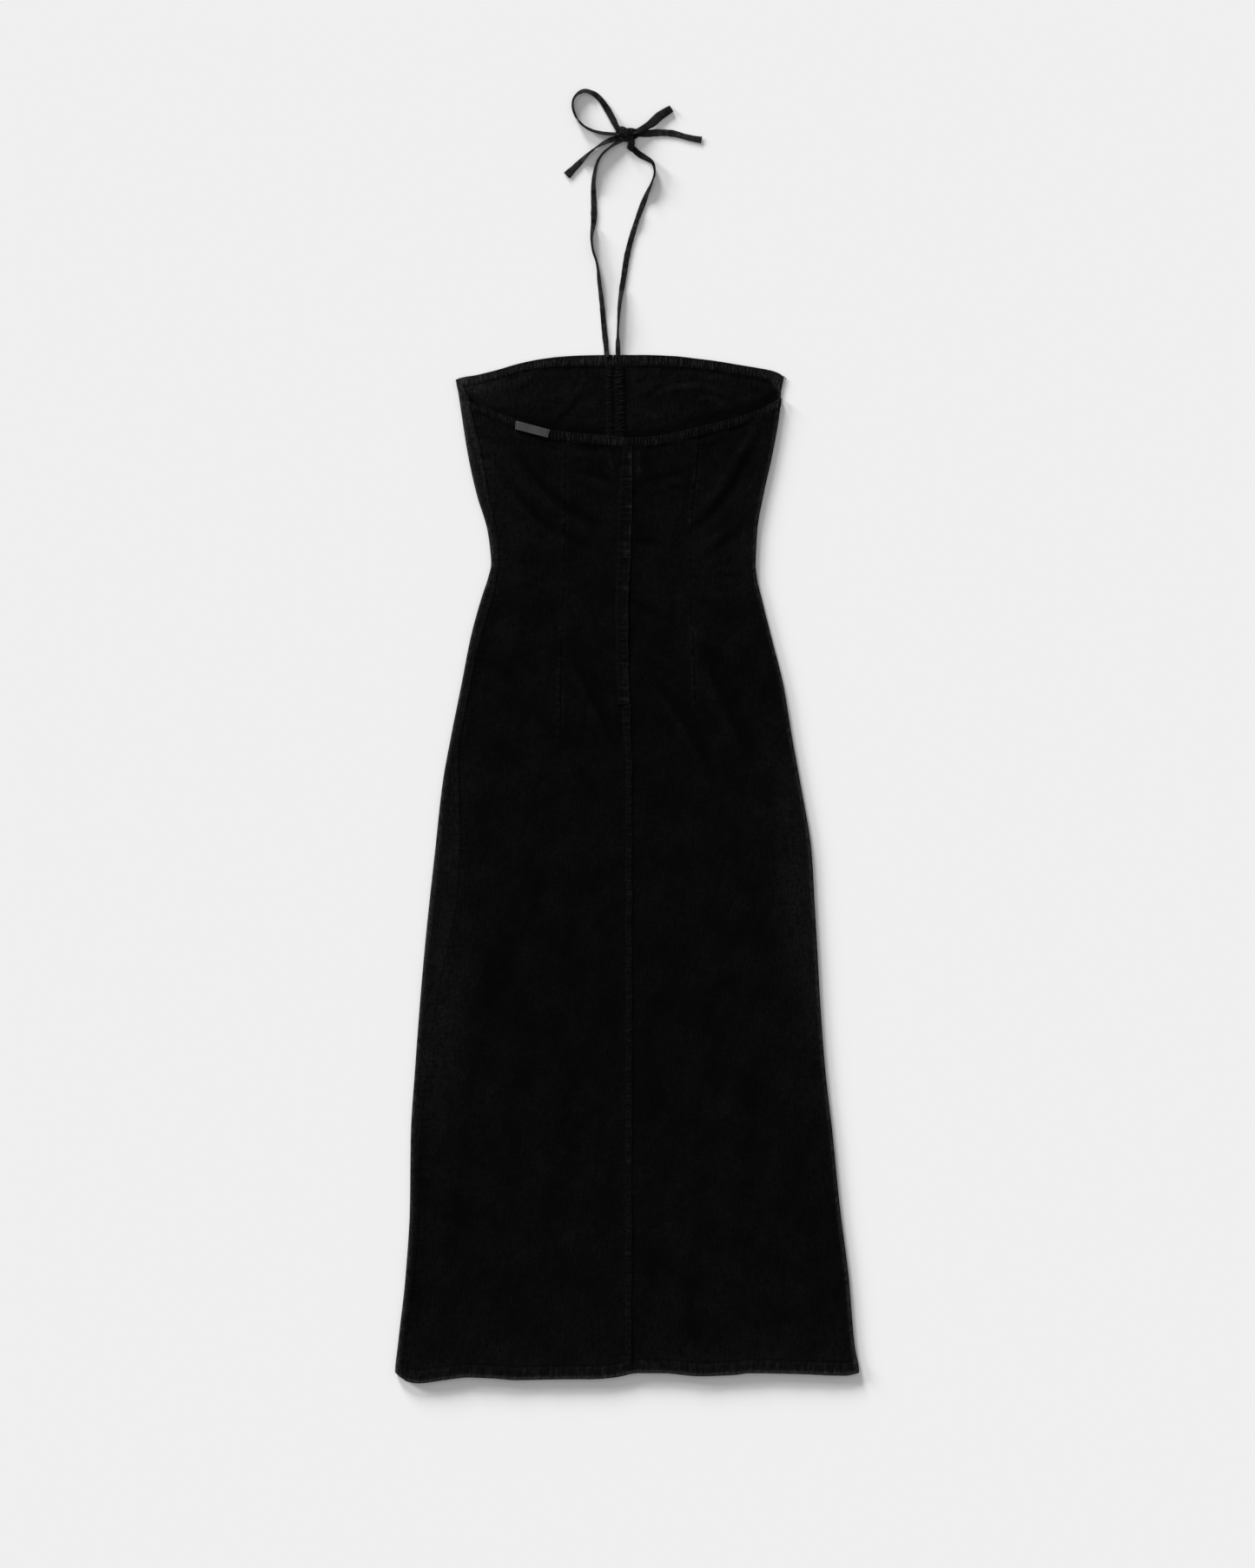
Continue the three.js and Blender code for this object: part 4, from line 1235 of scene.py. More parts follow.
@dataclass(frozen=True)
class Wear:
    """Where the washed cloth of the panels is faded, in shares of full fading, and puckered; the fade also
    carries painted shade in grooves, troughs and below the neck bindings, and painted light on edges turned
    away from the lamps.
    """

    lay: Lay
    plain: float = 0.034
    cloudy: float = 0.009
    mottled: float = 0.006
    above_hem: float = 0.024
    dark_hips: float = 0.014
    dark_skirt: float = 0.011
    left_side: float = 0.57
    right_side: float = 0.8
    smooth_gathers: float = 0.05
    hem_band: float = 0.035
    hem_streaks: float = 0.085
    hem_edge_wear_and_painted_light: float = 1.1
    hem_groove_painted_shade: float = 0.06
    skirt_fold_wear_and_shade: float = 0.018
    upper_fold_wear_and_shade: float = 0.034
    tucked_end_painted_shade: float = 0.45
    neck_groove_painted_shade: float = 0.03
    strip_low: float = 0.012
    strip_waist: float = 0.04
    strip_top: float = 0.3
    side_seam: float = 0.12
    seam_groove_painted_shade: float = 0.09
    dart: float = 0.09
    inside_top: float = 0.035
    inside_left: float = 0.12
    inside_fold_wear_and_shade: float = 0.05
    inside_shade: float = 0.08
    inside_deep_shade: float = 0.06
    inside_groove_painted_shade: float = 0.06
    inside_corner: float = 0.2

    def marks(self, layer: Layer, x: Array, y: Array, rise: Array) -> dict[str, Array]:
        """Give how faded and how puckered the cloth is, with its painted light and shade.

        Args:
            layer: where the cloth lies.
            x: places across.
            y: places up the dress.
            rise: how far each place is above the hem edge.

        Returns:
            Values by name.
        """
        left, right = x - self.lay.left(y), self.lay.right(y) - x
        fade = self.plain + self.cloudy * ripple(x, y, 70, 21) + self.mottled * ripple(x, y, 23, 22)
        for side, inset, reach, height, span, amount in WORN_SIDES:
            away = left if side == "left" else right
            fade += amount * bell(away - inset, reach) * bell(y - height, span)
        fade += self.above_hem * bell(rise - 30, 26)
        fade -= self.dark_hips * bell(x - 10, 150) * bell(y - 190, 90)
        fade -= self.dark_skirt * bell(y + 160, 170)
        # Rubbed folded edges; the right edge is made lighter than the left as painted light, as it faces away
        # from the lamps.
        rubs = self.left_side * bell(left - 0.5, 3.2) + self.right_side * bell(right - 0.6, 2.7)
        fade += (0.9 + 0.3 * ripple(0 * x, y, 8, 34)) * rubs
        gathers = np.full(x.shape, self.smooth_gathers)
        marks = Marks(fade, gathers.copy(), gathers.copy())
        self.hem(marks, x, rise)
        if layer in (Layer.OVER, Layer.LEFT_FOLD):
            self.outside(marks, x, y)
        else:
            self.inside(marks, x, y, left)
        return marks.values()

    def hem(self, marks: Marks, x: Array, rise: Array) -> None:
        """Mark the rubbed edge with painted light added, the stitched groove with its painted shade, and the
        puckers of the hem.

        Args:
            marks: the values that it adds to.
            x: places across.
            rise: how far each place is above the hem edge.
        """
        band = 1 - eased(rise, 13.2, 16)
        streaks = np.clip(ripple(x, rise * 0.2, 4.5, 31), 0, 2)
        marks.fade += band * (self.hem_band + self.hem_streaks * streaks)
        # Rubbed hem edge, made lighter than wear alone as painted light where the round edge faces away from
        # the lamps.
        marks.fade += self.hem_edge_wear_and_painted_light * bell(rise - 1.2, 2.3) * (0.75 + 0.25 * streaks)
        # Painted shade: a dark line in the groove above the hem band.
        marks.fade -= self.hem_groove_painted_shade * bell(rise - 16.2, 1.6)
        marks.up += 1.5 * band + 0.7 * bell(rise - 18, 9)

    def outside(self, marks: Marks, x: Array, y: Array) -> None:
        """Mark the folds, rubbed spots, seams and darts of the cloth on top, with painted shade in fold
        troughs, in the side seam groove, along the tucked binding end and below the back neck binding.

        Args:
            marks: the values that it adds to.
            x: places across.
            y: places up the dress.
        """
        lay = self.lay
        folds = self.skirt_fold_wear_and_shade + self.upper_fold_wear_and_shade * eased(y, 40, 130)
        # Fold ridges lighter as wear, troughs darker as painted shade.
        marks.fade += folds * np.clip(creased(lay.back_creases, x, y), -1.4, 0.6)
        marks.fade += rubbed(RUBBED, x, y)
        # Painted shade: a dark line where the turned end of the front binding tucks under the wrapped strip.
        marks.fade -= self.tucked_end_painted_shade * tucked(x, y, 1.3)
        # Painted shade: a dark line on the cloth just below the back neck binding.
        marks.fade -= self.neck_groove_painted_shade * bell(lay.back_neck(x) - 13.6 - y, 1.7) * (y > 480)
        seam, shown = lay.left_seam(y), lay.seam_share(y)
        strip = self.strip_low + self.strip_waist * eased(y, 100, 240)
        strip += self.strip_top * eased(y, 488, 556)
        gathered = 0.65 + 0.35 * ripple(0 * x, y, 9, 32)
        beside = self.side_seam * shown * bell(seam - x - 3.4, 3) * gathered
        marks.fade += (strip + beside) * (x < seam)
        # Painted shade: a dark line in the groove of the left side seam.
        marks.fade -= self.seam_groove_painted_shade * shown * bell(x - seam - 0.4, 1.2)
        marks.across += bell(x - seam, 9)
        for dart, share in (
            (lay.left_dart(y), lay.left_dart_share(y)),
            (lay.right_dart(y), lay.right_dart_share(y)),
        ):
            uneven = 0.45 + 0.75 * ripple(0 * x, y, 7, 33)
            marks.fade += self.dart * bell(x - dart + 2.6, 2.0) * share * uneven
            marks.across += 0.7 * bell(x - dart, 6) * share
        marks.across += 0.8 * bell(x - lay.back_seam(y), 11)
        marks.up += 0.9 * bell(lay.back_neck(x) - 17 - y, 9)

    def inside(self, marks: Marks, x: Array, y: Array, left: Array) -> None:
        """Mark the cloth underneath, whose inside shows above the back neck edge, with painted shade above
        that edge, in fold troughs and below the front binding.

        Args:
            marks: the values that it adds to.
            x: places across.
            y: places up the dress.
            left: distance from the left side.
        """
        lay = self.lay
        above, below = y - lay.back_neck(x), lay.front_neck(x) - y
        marks.fade += self.inside_top * eased(y, 500, 530)
        marks.fade += self.inside_left * bell(left - 15, 50) * eased(y, 530, 570)
        # Fold ridges lighter as wear, troughs darker as painted shade.
        marks.fade += self.inside_fold_wear_and_shade * np.clip(creased(lay.front_creases, x, y), -1.2, 1.2)
        # Painted shade on the inside just above the back neck edge, deeper to the right.
        marks.fade -= self.inside_shade * bell(above - 2, 9)
        marks.fade -= self.inside_deep_shade * bell(above - 4, 16) * eased(x, 20, 90)
        # Painted shade: a dark line below the front binding.
        marks.fade -= self.inside_groove_painted_shade * bell(below - 14.4, 1.9) * eased(x, -150, -80)
        marks.fade += self.inside_corner * bell(below - 15, 4) * bell(left - 14, 34)
        marks.up += bell(below - 20, 8)
        marks.across += 1.1 * bell(x - lay.front_seam(y), 16) * eased(y, 440, 470)


@dataclass
class Panel:
    """One cut piece of the dress from its turned hem to its neck binding."""

    name: str
    node: str
    lay: Lay
    columns: list[Column]
    inward: bool
    flat: tuple[float, float]
    area: float
    rests_on: tuple[str, ...] = ()
    tucked: float = 2.5
    skirt_rows: int = 128
    upper_rows: int = 186
    skirt_share: float = 0.62
    above_rows: float = 21.0
    stitched_at: float = 13.2
    stitch_dip: float = 0.3
    wall_share: float = 0.97

    def rows(self) -> tuple[Array, Array]:
        """Give the rows of the turned hem: rise above the edge, and depth under the outside."""
        wall = self.lay.cloth
        turned = [(rise, 2 * wall) for rise in (self.lay.hem, 11.5, 8, 4.5, 1.5)]
        bend = [
            (wall - wall * math.sin(angle), wall + wall * math.cos(angle))
            for angle in (math.pi * step / 6 for step in range(1, 6))
        ]
        outer = [(rise, 0.0) for rise in (1.5, 3, 4.8, 6.6, 8.4, 10.2, 11.8, 13, 14, 15, 16.4, 18.6)]
        table = np.array(turned + bend + outer)
        return table[:, 0], table[:, 1]

    def points(self) -> tuple[Array, dict[str, Array]]:
        """Lay every column of the panel.

        Returns:
            Rows of columns of points, and the values kept at each.
        """
        hem_rise, hem_depth = self.rows()
        shares = np.concatenate([
            np.linspace(0, self.skirt_share, self.skirt_rows, endpoint=False),
            np.linspace(self.skirt_share, 1, self.upper_rows),
        ])
        wear = Wear(self.lay)
        grid, marks = [], []
        for column in self.columns:
            hem = self.lay.hem_of(column)
            top = self.lay.neck_of(column) - self.tucked
            foot = hem + self.above_rows
            y = np.concatenate([hem + hem_rise, foot + shares * (top - foot)])
            depth = np.concatenate([hem_depth, np.zeros(len(shares))])
            rise = y - hem
            points = self.lay.place(column, y, depth, rise)
            groove = self.stitch_dip * bell(rise - self.stitched_at, 1.1) * (depth < 1)
            points[:, 2] -= groove * (column.layer is Layer.OVER)
            grid.append(points)
            marks.append(wear.marks(column.layer, points[:, 0], y, rise))
        stacked = {name: np.stack([mark[name] for mark in marks], axis=1) for name in marks[0]}
        return np.stack(grid, axis=1), stacked

    def stitch_line(self) -> Array:
        """Give points on the outside of the panel along the stitching of the hem."""
        rise = self.stitched_at
        line = []
        for column in self.columns:
            if column.layer is Layer.OVER:
                y = np.array([self.lay.hem_of(column) + rise])
                line.append(self.lay.place(column, y, np.zeros(1), np.array([rise]))[0])
        return np.array(line)

    def build(self, finishes: Finishes) -> bpy.types.Object:
        """Lay the panel and give the cloth its thickness.

        Args:
            finishes: the materials.

        Returns:
            The panel.
        """
        points, marks = self.points()
        piece = lay_grid(self.name, points, marks)
        if self.inward:
            edit(piece)
            bpy.ops.mesh.flip_normals()
            bpy.ops.object.mode_set(mode="OBJECT")
        wall = self.lay.cloth * METRE * self.wall_share
        apply_modifier(piece, "SOLIDIFY", thickness=wall, offset=-1.0, use_rim=True)
        smooth(piece)
        return dress_piece(piece, finishes.cloth, "cloth", self.node)

    def declare(self, piece: bpy.types.Object, trims: list[bpy.types.Object]) -> None:
        """Do nothing; the panel's cut size is not given.

        Args:
            piece: the panel; not used.
            trims: the pieces sewn to it; not used.
        """


@dataclass
class Binding:
    """A narrow strip turned over a neck edge and stitched down, which draws it up."""

    name: str
    node: str
    lay: Lay
    columns: list[Column]
    seed: int
    worn: tuple[float, float]
    patch: tuple[float, float] = (0.0, 0.0)
    patch_reach: float = 15.0
    relief: float = 0.5
    pucker: float = 0.6
    pitch: float = 3.3
    steps: tuple[float, ...] = (
        0, 0.03, 0.09, 0.17, 0.26, 0.36, 0.46, 0.56, 0.66, 0.75, 0.83, 0.9, 0.95,
    )
    stitch_step: int = 3
    turn: float = 0.9
    gap: float = 0.12
    inside_worn: float = 0.1
    above_hem: float = 500.0
    grid: Array | None = None

    def section(self, column: Column, neck: float, x: float, drawn: Array) -> tuple[Array, Array]:
        """Lay the strip round the neck edge at one column.

        Args:
            column: the column.
            neck: height of the neck edge there.
            x: place across.
            drawn: height of the puckers at each step.

        Returns:
            A closed row of points, and how faded each is, with painted shade on the turned edge and along the
            tucked end.
        """
        lay, steps = self.lay, np.array(self.steps)
        width = lay.binding_of(column) - self.turn
        shown_y = neck - self.turn - width * (1 - steps / steps[-1])
        side = bell(x + 203, 60) + bell(x - 186, 22)
        tuck = tucked(x, shown_y, 1.2)
        rise = eased(steps, -0.02, 0.06) * (0.72 + 0.28 * np.sin(math.pi * steps))
        relief = self.relief * rise * (1 - 0.65 * side)
        relief += self.pucker * drawn * eased(steps, 0, 0.12)
        relief -= 0.15 * bell(steps - steps[self.stitch_step], 0.05) + 0.4 * tuck
        near, far = -relief, lay.cloth + self.gap
        if column.layer is Layer.UNDER:
            near, far = lay.cloth + relief, 0.0
        bend = np.linspace(0, math.pi, 7)[1:-1]
        turned = near[-1] + (far - near[-1]) * (1 - np.cos(bend)) / 2
        depth = np.concatenate([near, turned, np.full(len(steps), far)])
        turned_y = neck - self.turn * (1 - np.sin(bend))
        ys = np.concatenate([shown_y, turned_y, shown_y[::-1]])
        points = lay.place(column, ys, depth, np.full(ys.shape, self.above_hem))
        points[:, 2] = np.maximum(points[:, 2], LOWEST)
        crest = np.clip(drawn * eased(steps, 0, 0.1), 0, 1.4)
        worn = self.worn[0] * (1 + 1.2 * side) + self.worn[1] * crest**1.5
        # A faded patch, less painted shade along the line where the front binding's turned end tucks under.
        worn += self.patch[1] * bell(x - self.patch[0], self.patch_reach) - 0.55 * tuck
        # Painted shade: the round turned edge is dimmed where it catches the lamps.
        turned_fade_with_painted_shade = np.full(len(bend), worn[-1] * 0.6)
        inside = np.full(len(steps), self.inside_worn)
        fade = np.concatenate([worn, turned_fade_with_painted_shade, inside, worn[:1]])
        return np.concatenate([points, points[:1]]), fade

    def build(self, finishes: Finishes) -> bpy.types.Object:
        """Lay the strip round the neck edge.

        Args:
            finishes: the materials.

        Returns:
            The strip.
        """
        lay = self.lay
        necks = np.array([lay.neck_of(column) for column in self.columns])
        edges = np.array([
            lay.place(column, np.array([neck]), np.zeros(1), np.array([self.above_hem]))[0]
            for column, neck in zip(self.columns, necks)
        ])
        along = np.concatenate([[0], np.cumsum(np.linalg.norm(np.diff(edges, axis=0), axis=1))])
        puckers = Puckers(float(along[-1]), self.pitch, self.seed, least=0.55)
        fine = Puckers(float(along[-1]), self.pitch * 0.45, self.seed + 50, 1.0)
        steps = np.array(self.steps)
        rings, fades = [], []
        for column, neck, at, x in zip(self.columns, necks, along, edges[:, 0]):
            drawn = puckers.height(at, steps) + 0.35 * fine.height(at, steps)
            ring, fade = self.section(column, neck, x, drawn)
            rings.append(ring)
            fades.append(fade)
        self.grid = np.stack(rings)
        piece = roll(self.name, self.grid, Marks.even(np.stack(fades), 0.75, 0.1))
        return dress_piece(piece, finishes.cloth, "binding", self.node)

    def stitch_line(self) -> Array:
        """Give the points that the topstitching follows."""
        return self.grid[:, self.stitch_step]


@dataclass
class Casing:
    """The gathered centre front casing with a channel for each tie."""

    name: str
    node: str
    lay: Lay
    length: float = 152.0
    low: float = -10.5
    high: float = 15.0
    seam: float = 0.4
    below_edge: float = 12.5
    puffed: float = 0.62
    drawn: float = 0.85
    plain: float = 0.03
    across_points: int = 34
    step: float = 0.8

    def build(self, finishes: Finishes) -> bpy.types.Object:
        """Lay the two puffed and gathered channels on the inside of the front.

        Args:
            finishes: the materials.

        Returns:
            The casing.
        """
        lay = self.lay
        top = float(lay.front_neck(lay.front_seam(np.array([600.0])))[0]) - self.below_edge
        y = np.arange(top, top - self.length, -self.step)
        across = np.linspace(self.low, self.high, self.across_points)
        yy, aa = np.meshgrid(y, across, indexing="ij")
        xx = lay.front_seam(yy) + aa + 0.35 * ripple(0 * yy, yy, 30, 41)
        left = np.clip((aa - self.low) / (self.seam - self.low), 0, 1)
        right = np.clip((aa - self.seam) / (self.high - self.seam), 0, 1)
        puff = np.where(aa < self.seam, np.sin(math.pi * left), np.sin(math.pi * right) ** 0.8)
        drawn_left = Puckers(self.length, 3.4, 11, 1.6, 2.2).height(top - yy, left)
        drawn_right = Puckers(self.length, 3.4, 12, 1.6, -2.0).height(top - yy, right)
        drawn = np.where(aa < self.seam, drawn_left, drawn_right)
        fine = Puckers(self.length, 2.1, 13, 1.5).height(top - yy, np.abs(aa) / 15)
        edge = eased(aa, self.low, self.low + 2.4) * (1 - eased(aa, self.high - 4.0, self.high))
        window = puff**0.6
        raised = 0.25 + self.puffed * puff + self.drawn * drawn * window + 0.2 * fine * window
        base = lay.lift(xx, yy) + lay.cloth
        upper = np.stack([xx, yy, base + 0.1 + edge * raised], axis=2)
        lower = np.stack([xx, yy, base + 0.04], axis=2)[:, ::-1]
        grid = np.concatenate([upper, lower, upper[:, :1]], axis=1)
        bright = 0.8 + 0.9 * eased(yy, 560, 600)
        rubs = np.clip(0.24 * drawn**1.5 + 0.06 * fine, 0, 0.6)
        fade = self.plain + edge * window * bright * rubs
        fade = np.concatenate([fade, np.full(fade.shape, self.plain), fade[:, :1]], axis=1)
        piece = roll(self.name, grid, Marks.even(fade, 0.1, 1.0))
        return dress_piece(piece, finishes.cloth, "cloth", self.node)


@dataclass
class Strip:
    """A narrow sewn strip down the centre back: the lap, or the ridge below it."""

    name: str
    lay: Lay
    start: float
    end: float
    edge: Callable[[Array], Array]
    width: Run
    thickness: float
    seed: int
    pitch: float
    drawn: float
    worn: float
    soft_edge: float = 1.2
    bright_edge: float = 0.4
    creases: tuple[float, ...] = ()
    dim: float = 0.0
    plain: float = 0.022
    sunk: float = 0.3
    spots: Sequence[Spot] = ()
    across_points: int = 22
    step: float = 1.2
    grid: Array | None = None

    def build(self, finishes: Finishes, *nodes: str) -> bpy.types.Object:
        """Lay the strip on the upper layer.

        Args:
            finishes: the materials.
            nodes: solids that it stands for.

        Returns:
            The strip.
        """
        lay = self.lay
        y = np.arange(self.start, self.end, -self.step)
        share = np.linspace(0, 1, self.across_points)
        yy, tt = np.meshgrid(y, share, indexing="ij")
        wobble = 0.3 * ripple(0 * yy, yy, 38, self.seed) + 0.15 * ripple(0 * yy, yy, 9, self.seed + 1)
        width = self.width(yy)
        xx = self.edge(yy) - width * (1 - tt) + wobble
        length = self.start - self.end
        along = self.start - yy
        puckers = Puckers(length, self.pitch, self.seed, 0.8).height(along, tt)
        fine = Puckers(length, self.pitch * 0.5, self.seed + 2, 1.0).height(along, tt)
        rows = bell((tt - 0.14) * width, 0.7) + bell((tt - 0.88) * width, 0.7)
        cross = np.zeros(yy.shape)
        for at in self.creases:
            bend = 1.2 * (tt - 0.5) * math.sin(at)
            cross += bell(yy - at - bend, 0.9) - 0.7 * bell(yy - at - bend - 2.2, 1.1)
        body = eased(tt * width, 0, self.soft_edge) * (1 - eased((tt - 1) * width, -1.0, 0))
        crest = bell((tt - 1) * width + 1.3, 1.1)
        raised = self.thickness + self.drawn * (puckers * 0.8 + 0.3 * fine) + 0.25 * crest
        raised += 0.35 * cross - 0.22 * rows
        ends = eased(along, 0, 1.5) * (1 - eased(along, length - 2.4, length - 0.4))
        radius = np.full(yy.shape, lay.radius)
        base = lay.top(xx, yy, radius)
        for shift in (-6.0, 6.0):
            base = np.maximum(base, lay.top(xx + shift * 0.4, yy + shift, radius) - 0.1)
        upper = np.stack([xx, yy, base + 0.08 + body * ends * raised], axis=2)
        lower = np.stack([xx, yy, base - self.sunk], axis=2)[:, ::-1]
        self.grid = np.concatenate([upper, lower, upper[:, :1]], axis=1)
        rubs = 0.34 * np.clip(puckers, 0, 1.3) ** 1.5 + 0.1 * fine + self.bright_edge * crest
        rubs += 0.3 * np.clip(cross, 0, 1)
        fade = self.plain + body * self.worn * rubs * (1 - self.dim * (1 - eased(tt, 0.3, 0.6)))
        fade += rubbed(self.spots, xx, yy)
        fade = np.concatenate([fade, np.zeros(fade.shape), fade[:, :1]], axis=1)
        piece = roll(self.name, self.grid, Marks.even(fade, 0.1, 0.8))
        return dress_piece(piece, finishes.cloth, "cloth", *nodes)

    def line(self, share: float) -> Array:
        """Give points down the strip at a share of its width."""
        return self.grid[:, round(share * (self.across_points - 1))]


@dataclass
class Label:
    """A bare woven label stitched to the back neck binding by its ends."""

    name: str
    node: str
    lay: Lay
    corners: tuple[tuple[float, float], ...] = (
        (-131.7, 530.6), (-91.5, 520), (-94, 510.7), (-132.4, 520.6),
    )
    thickness: float = 0.8
    grid: Array | None = None

    def build(self, finishes: Finishes) -> bpy.types.Object:
        """Lay the label on the binding.

        Args:
            finishes: the materials.

        Returns:
            The label.
        """
        u, v = np.meshgrid(np.linspace(0, 1, 60), np.linspace(0, 1, 18))
        a, b, c, d = (np.array(corner) for corner in self.corners)
        low = d + (c - d) * u[..., None]
        high = a + (b - a) * u[..., None]
        flat = low + (high - low) * v[..., None]
        x, y = flat[..., 0], flat[..., 1]
        radius = np.full(x.shape, self.lay.radius)
        base = self.lay.top(x, y, radius) + 1.15
        held = bell(u - 0.03, 0.035) + bell(u - 0.97, 0.035)
        bow = 0.35 * np.sin(math.pi * u) ** 0.6 + 0.1 * np.sin(9.4 * u + 1) * np.sin(math.pi * v)
        z = base + self.thickness + bow - 0.3 * held
        self.grid = np.stack([x, y, z], axis=2)
        rim = 1 - np.clip(np.minimum(np.minimum(u, 1 - u) * 14, np.minimum(v, 1 - v) * 7), 0, 1)
        uv = np.stack([u * 0.041, v * 0.0095], axis=2)
        piece = lay_grid(self.name, self.grid, {"fade": 0.25 * rim}, uv)
        apply_modifier(piece, "SOLIDIFY", thickness=self.thickness * METRE, offset=-1.0)
        apply_modifier(
            piece, "BEVEL", width=0.0002, segments=2, limit_method="ANGLE", angle_limit=math.radians(60)
        )
        smooth(piece, 60)
        return dress_piece(piece, finishes.label, "label", self.node)

    def end_lines(self) -> list[Array]:
        """Give the lines of stitches at both ends."""
        return [self.grid[2:-2, column] for column in (2, -3)]


@dataclass
class Tie:
    """A narrow turned tie that lies flat or twists on to its edge, as it shows from above."""

    name: str
    node: str
    rows: Sequence[TIE_ROW]
    far_end: str = "object"
    width: float = 6.0
    thickness: float = 1.4
    fuller: float = 0.9
    lean: float = 1.0
    twist_at: float = 2.0
    faded: float = 0.48
    edge_faded: float = 0.12
    # Painted shade: how dark a tie standing on edge is made, and how dark and how far round the knot.
    edge_on_painted_shade: float = 0.17
    shade: float = 0.68
    shade_reach: float = 17.0
    least: float = 2.9
    step: float = 1.3
    ring: int = 16
    seed: int = 1

    def route(self) -> tuple[Array, Array]:
        """Smooth the rows into one even route.

        Returns:
            Points on the middle of the tie, and how wide it looks at each.
        """
        rows = np.array(self.rows, float)
        padded = np.concatenate([[2 * rows[0] - rows[1]], rows, [2 * rows[-1] - rows[-2]]])
        parts = []
        for i in range(1, len(padded) - 2):
            p0, p1, p2, p3 = padded[i - 1 : i + 3]
            t = np.linspace(0, 1, 24, endpoint=False)[:, None]
            parts.append(
                0.5 * (2 * p1 + (p2 - p0) * t + (2 * p0 - 5 * p1 + 4 * p2 - p3) * t**2
                       + (3 * p1 - p0 - 3 * p2 + p3) * t**3)
            )
        fine = np.concatenate([*parts, rows[-1:]])
        run = np.concatenate([[0], np.cumsum(np.linalg.norm(np.diff(fine[:, :3], axis=0), axis=1))])
        even = np.linspace(0, run[-1], max(24, int(run[-1] / self.step)))
        out = np.stack([np.interp(even, run, fine[:, axis]) for axis in range(4)], axis=1)
        seen = np.maximum(out[:, 3] + self.fuller, self.least)
        wide = np.maximum(seen, self.width)
        turn = np.arccos(np.clip((seen - self.thickness) / (wide - self.thickness), 0, 1))
        stand = np.sin(turn) * (wide / 2 - 0.25) + np.cos(turn) * self.thickness / 2 + 0.05
        out[:, 2] = np.maximum(out[:, 2], stand)
        return out[:, :3], seen

    def rings(self) -> tuple[Array, Array, Array]:
        """Give the rings of the tie.

        Returns:
            Rings of points, how faded each point is with painted shade near the knot and where the tie stands
            on edge, and the pattern places.
        """
        middle, seen = self.route()
        run = np.gradient(middle, axis=0)
        run /= np.linalg.norm(run, axis=1)[:, None]
        side = np.cross(run, [0, 0, 1])
        side /= np.linalg.norm(side, axis=1)[:, None]
        up = np.cross(side, run)
        wide = np.maximum(seen, self.width)
        turn = np.arccos(np.clip((seen - self.thickness) / (wide - self.thickness), 0, 1))
        share = np.linspace(0, 1, len(turn))
        over = eased(share, self.twist_at - 0.03, self.twist_at + 0.03)
        turn = (self.lean * (turn + over * (math.pi - 2 * turn)))[:, None]
        flat = np.cos(turn) * side + np.sin(turn) * up
        face = -np.sin(turn) * side + np.cos(turn) * up
        angle = np.linspace(0, math.tau, self.ring + 1)
        along = np.concatenate([[0], np.cumsum(np.linalg.norm(np.diff(middle, axis=0), axis=1))])
        wobble = 1 + 0.035 * ripple(0 * along, along, 14, self.seed)
        u = np.sign(np.cos(angle)) * np.abs(np.cos(angle)) ** 0.55
        v = np.sign(np.sin(angle)) * np.abs(np.sin(angle)) ** 0.75
        v = v * (0.78 + 0.3 * np.abs(u) ** 2 * (1 - np.abs(u) ** 8))
        half = (wide * wobble)[:, None] / 2
        deep = self.thickness / 2 * (1 + 0.12 * ripple(0 * along, along, 9, self.seed + 7))[:, None]
        points = (
            middle[:, None, :]
            + (half * u)[:, :, None] * flat[:, None, :]
            + (deep * v)[:, :, None] * face[:, None, :]
        )
        points[:, :, 2] = np.maximum(points[:, :, 2], LOWEST)
        uneven = 0.07 * ripple(0 * along, along, 12, self.seed)[:, None]
        fade = self.faded + self.edge_faded * np.abs(u)[None, :] ** 3 + uneven
        # Painted shade: darker near the knot, and where the tie stands on edge and its face tilts to the
        # lamps.
        near_knot = np.hypot(middle[:, 0] - KNOT_AT[0], middle[:, 1] - KNOT_AT[1])
        shown = self.edge_on_painted_shade + (1 - self.edge_on_painted_shade) * eased(seen, self.least, 5.8)
        fade *= (shown * (1 - self.shade * bell(near_knot, self.shade_reach)))[:, None]
        uv = np.stack(np.broadcast_arrays(half * angle[None, :] / math.pi, along[:, None]), axis=2)
        return points, np.clip(fade, 0, 1), uv * METRE

    def build(self, finishes: Finishes) -> bpy.types.Object:
        """Args:
            finishes: the materials.

        Returns:
            The tie.
        """
        points, fade, uv = self.rings()
        piece = roll(self.name, points, Marks.even(fade, 0.1, 0.35), uv)
        dress_piece(piece, finishes.tie, "tie", self.node)
        return piece


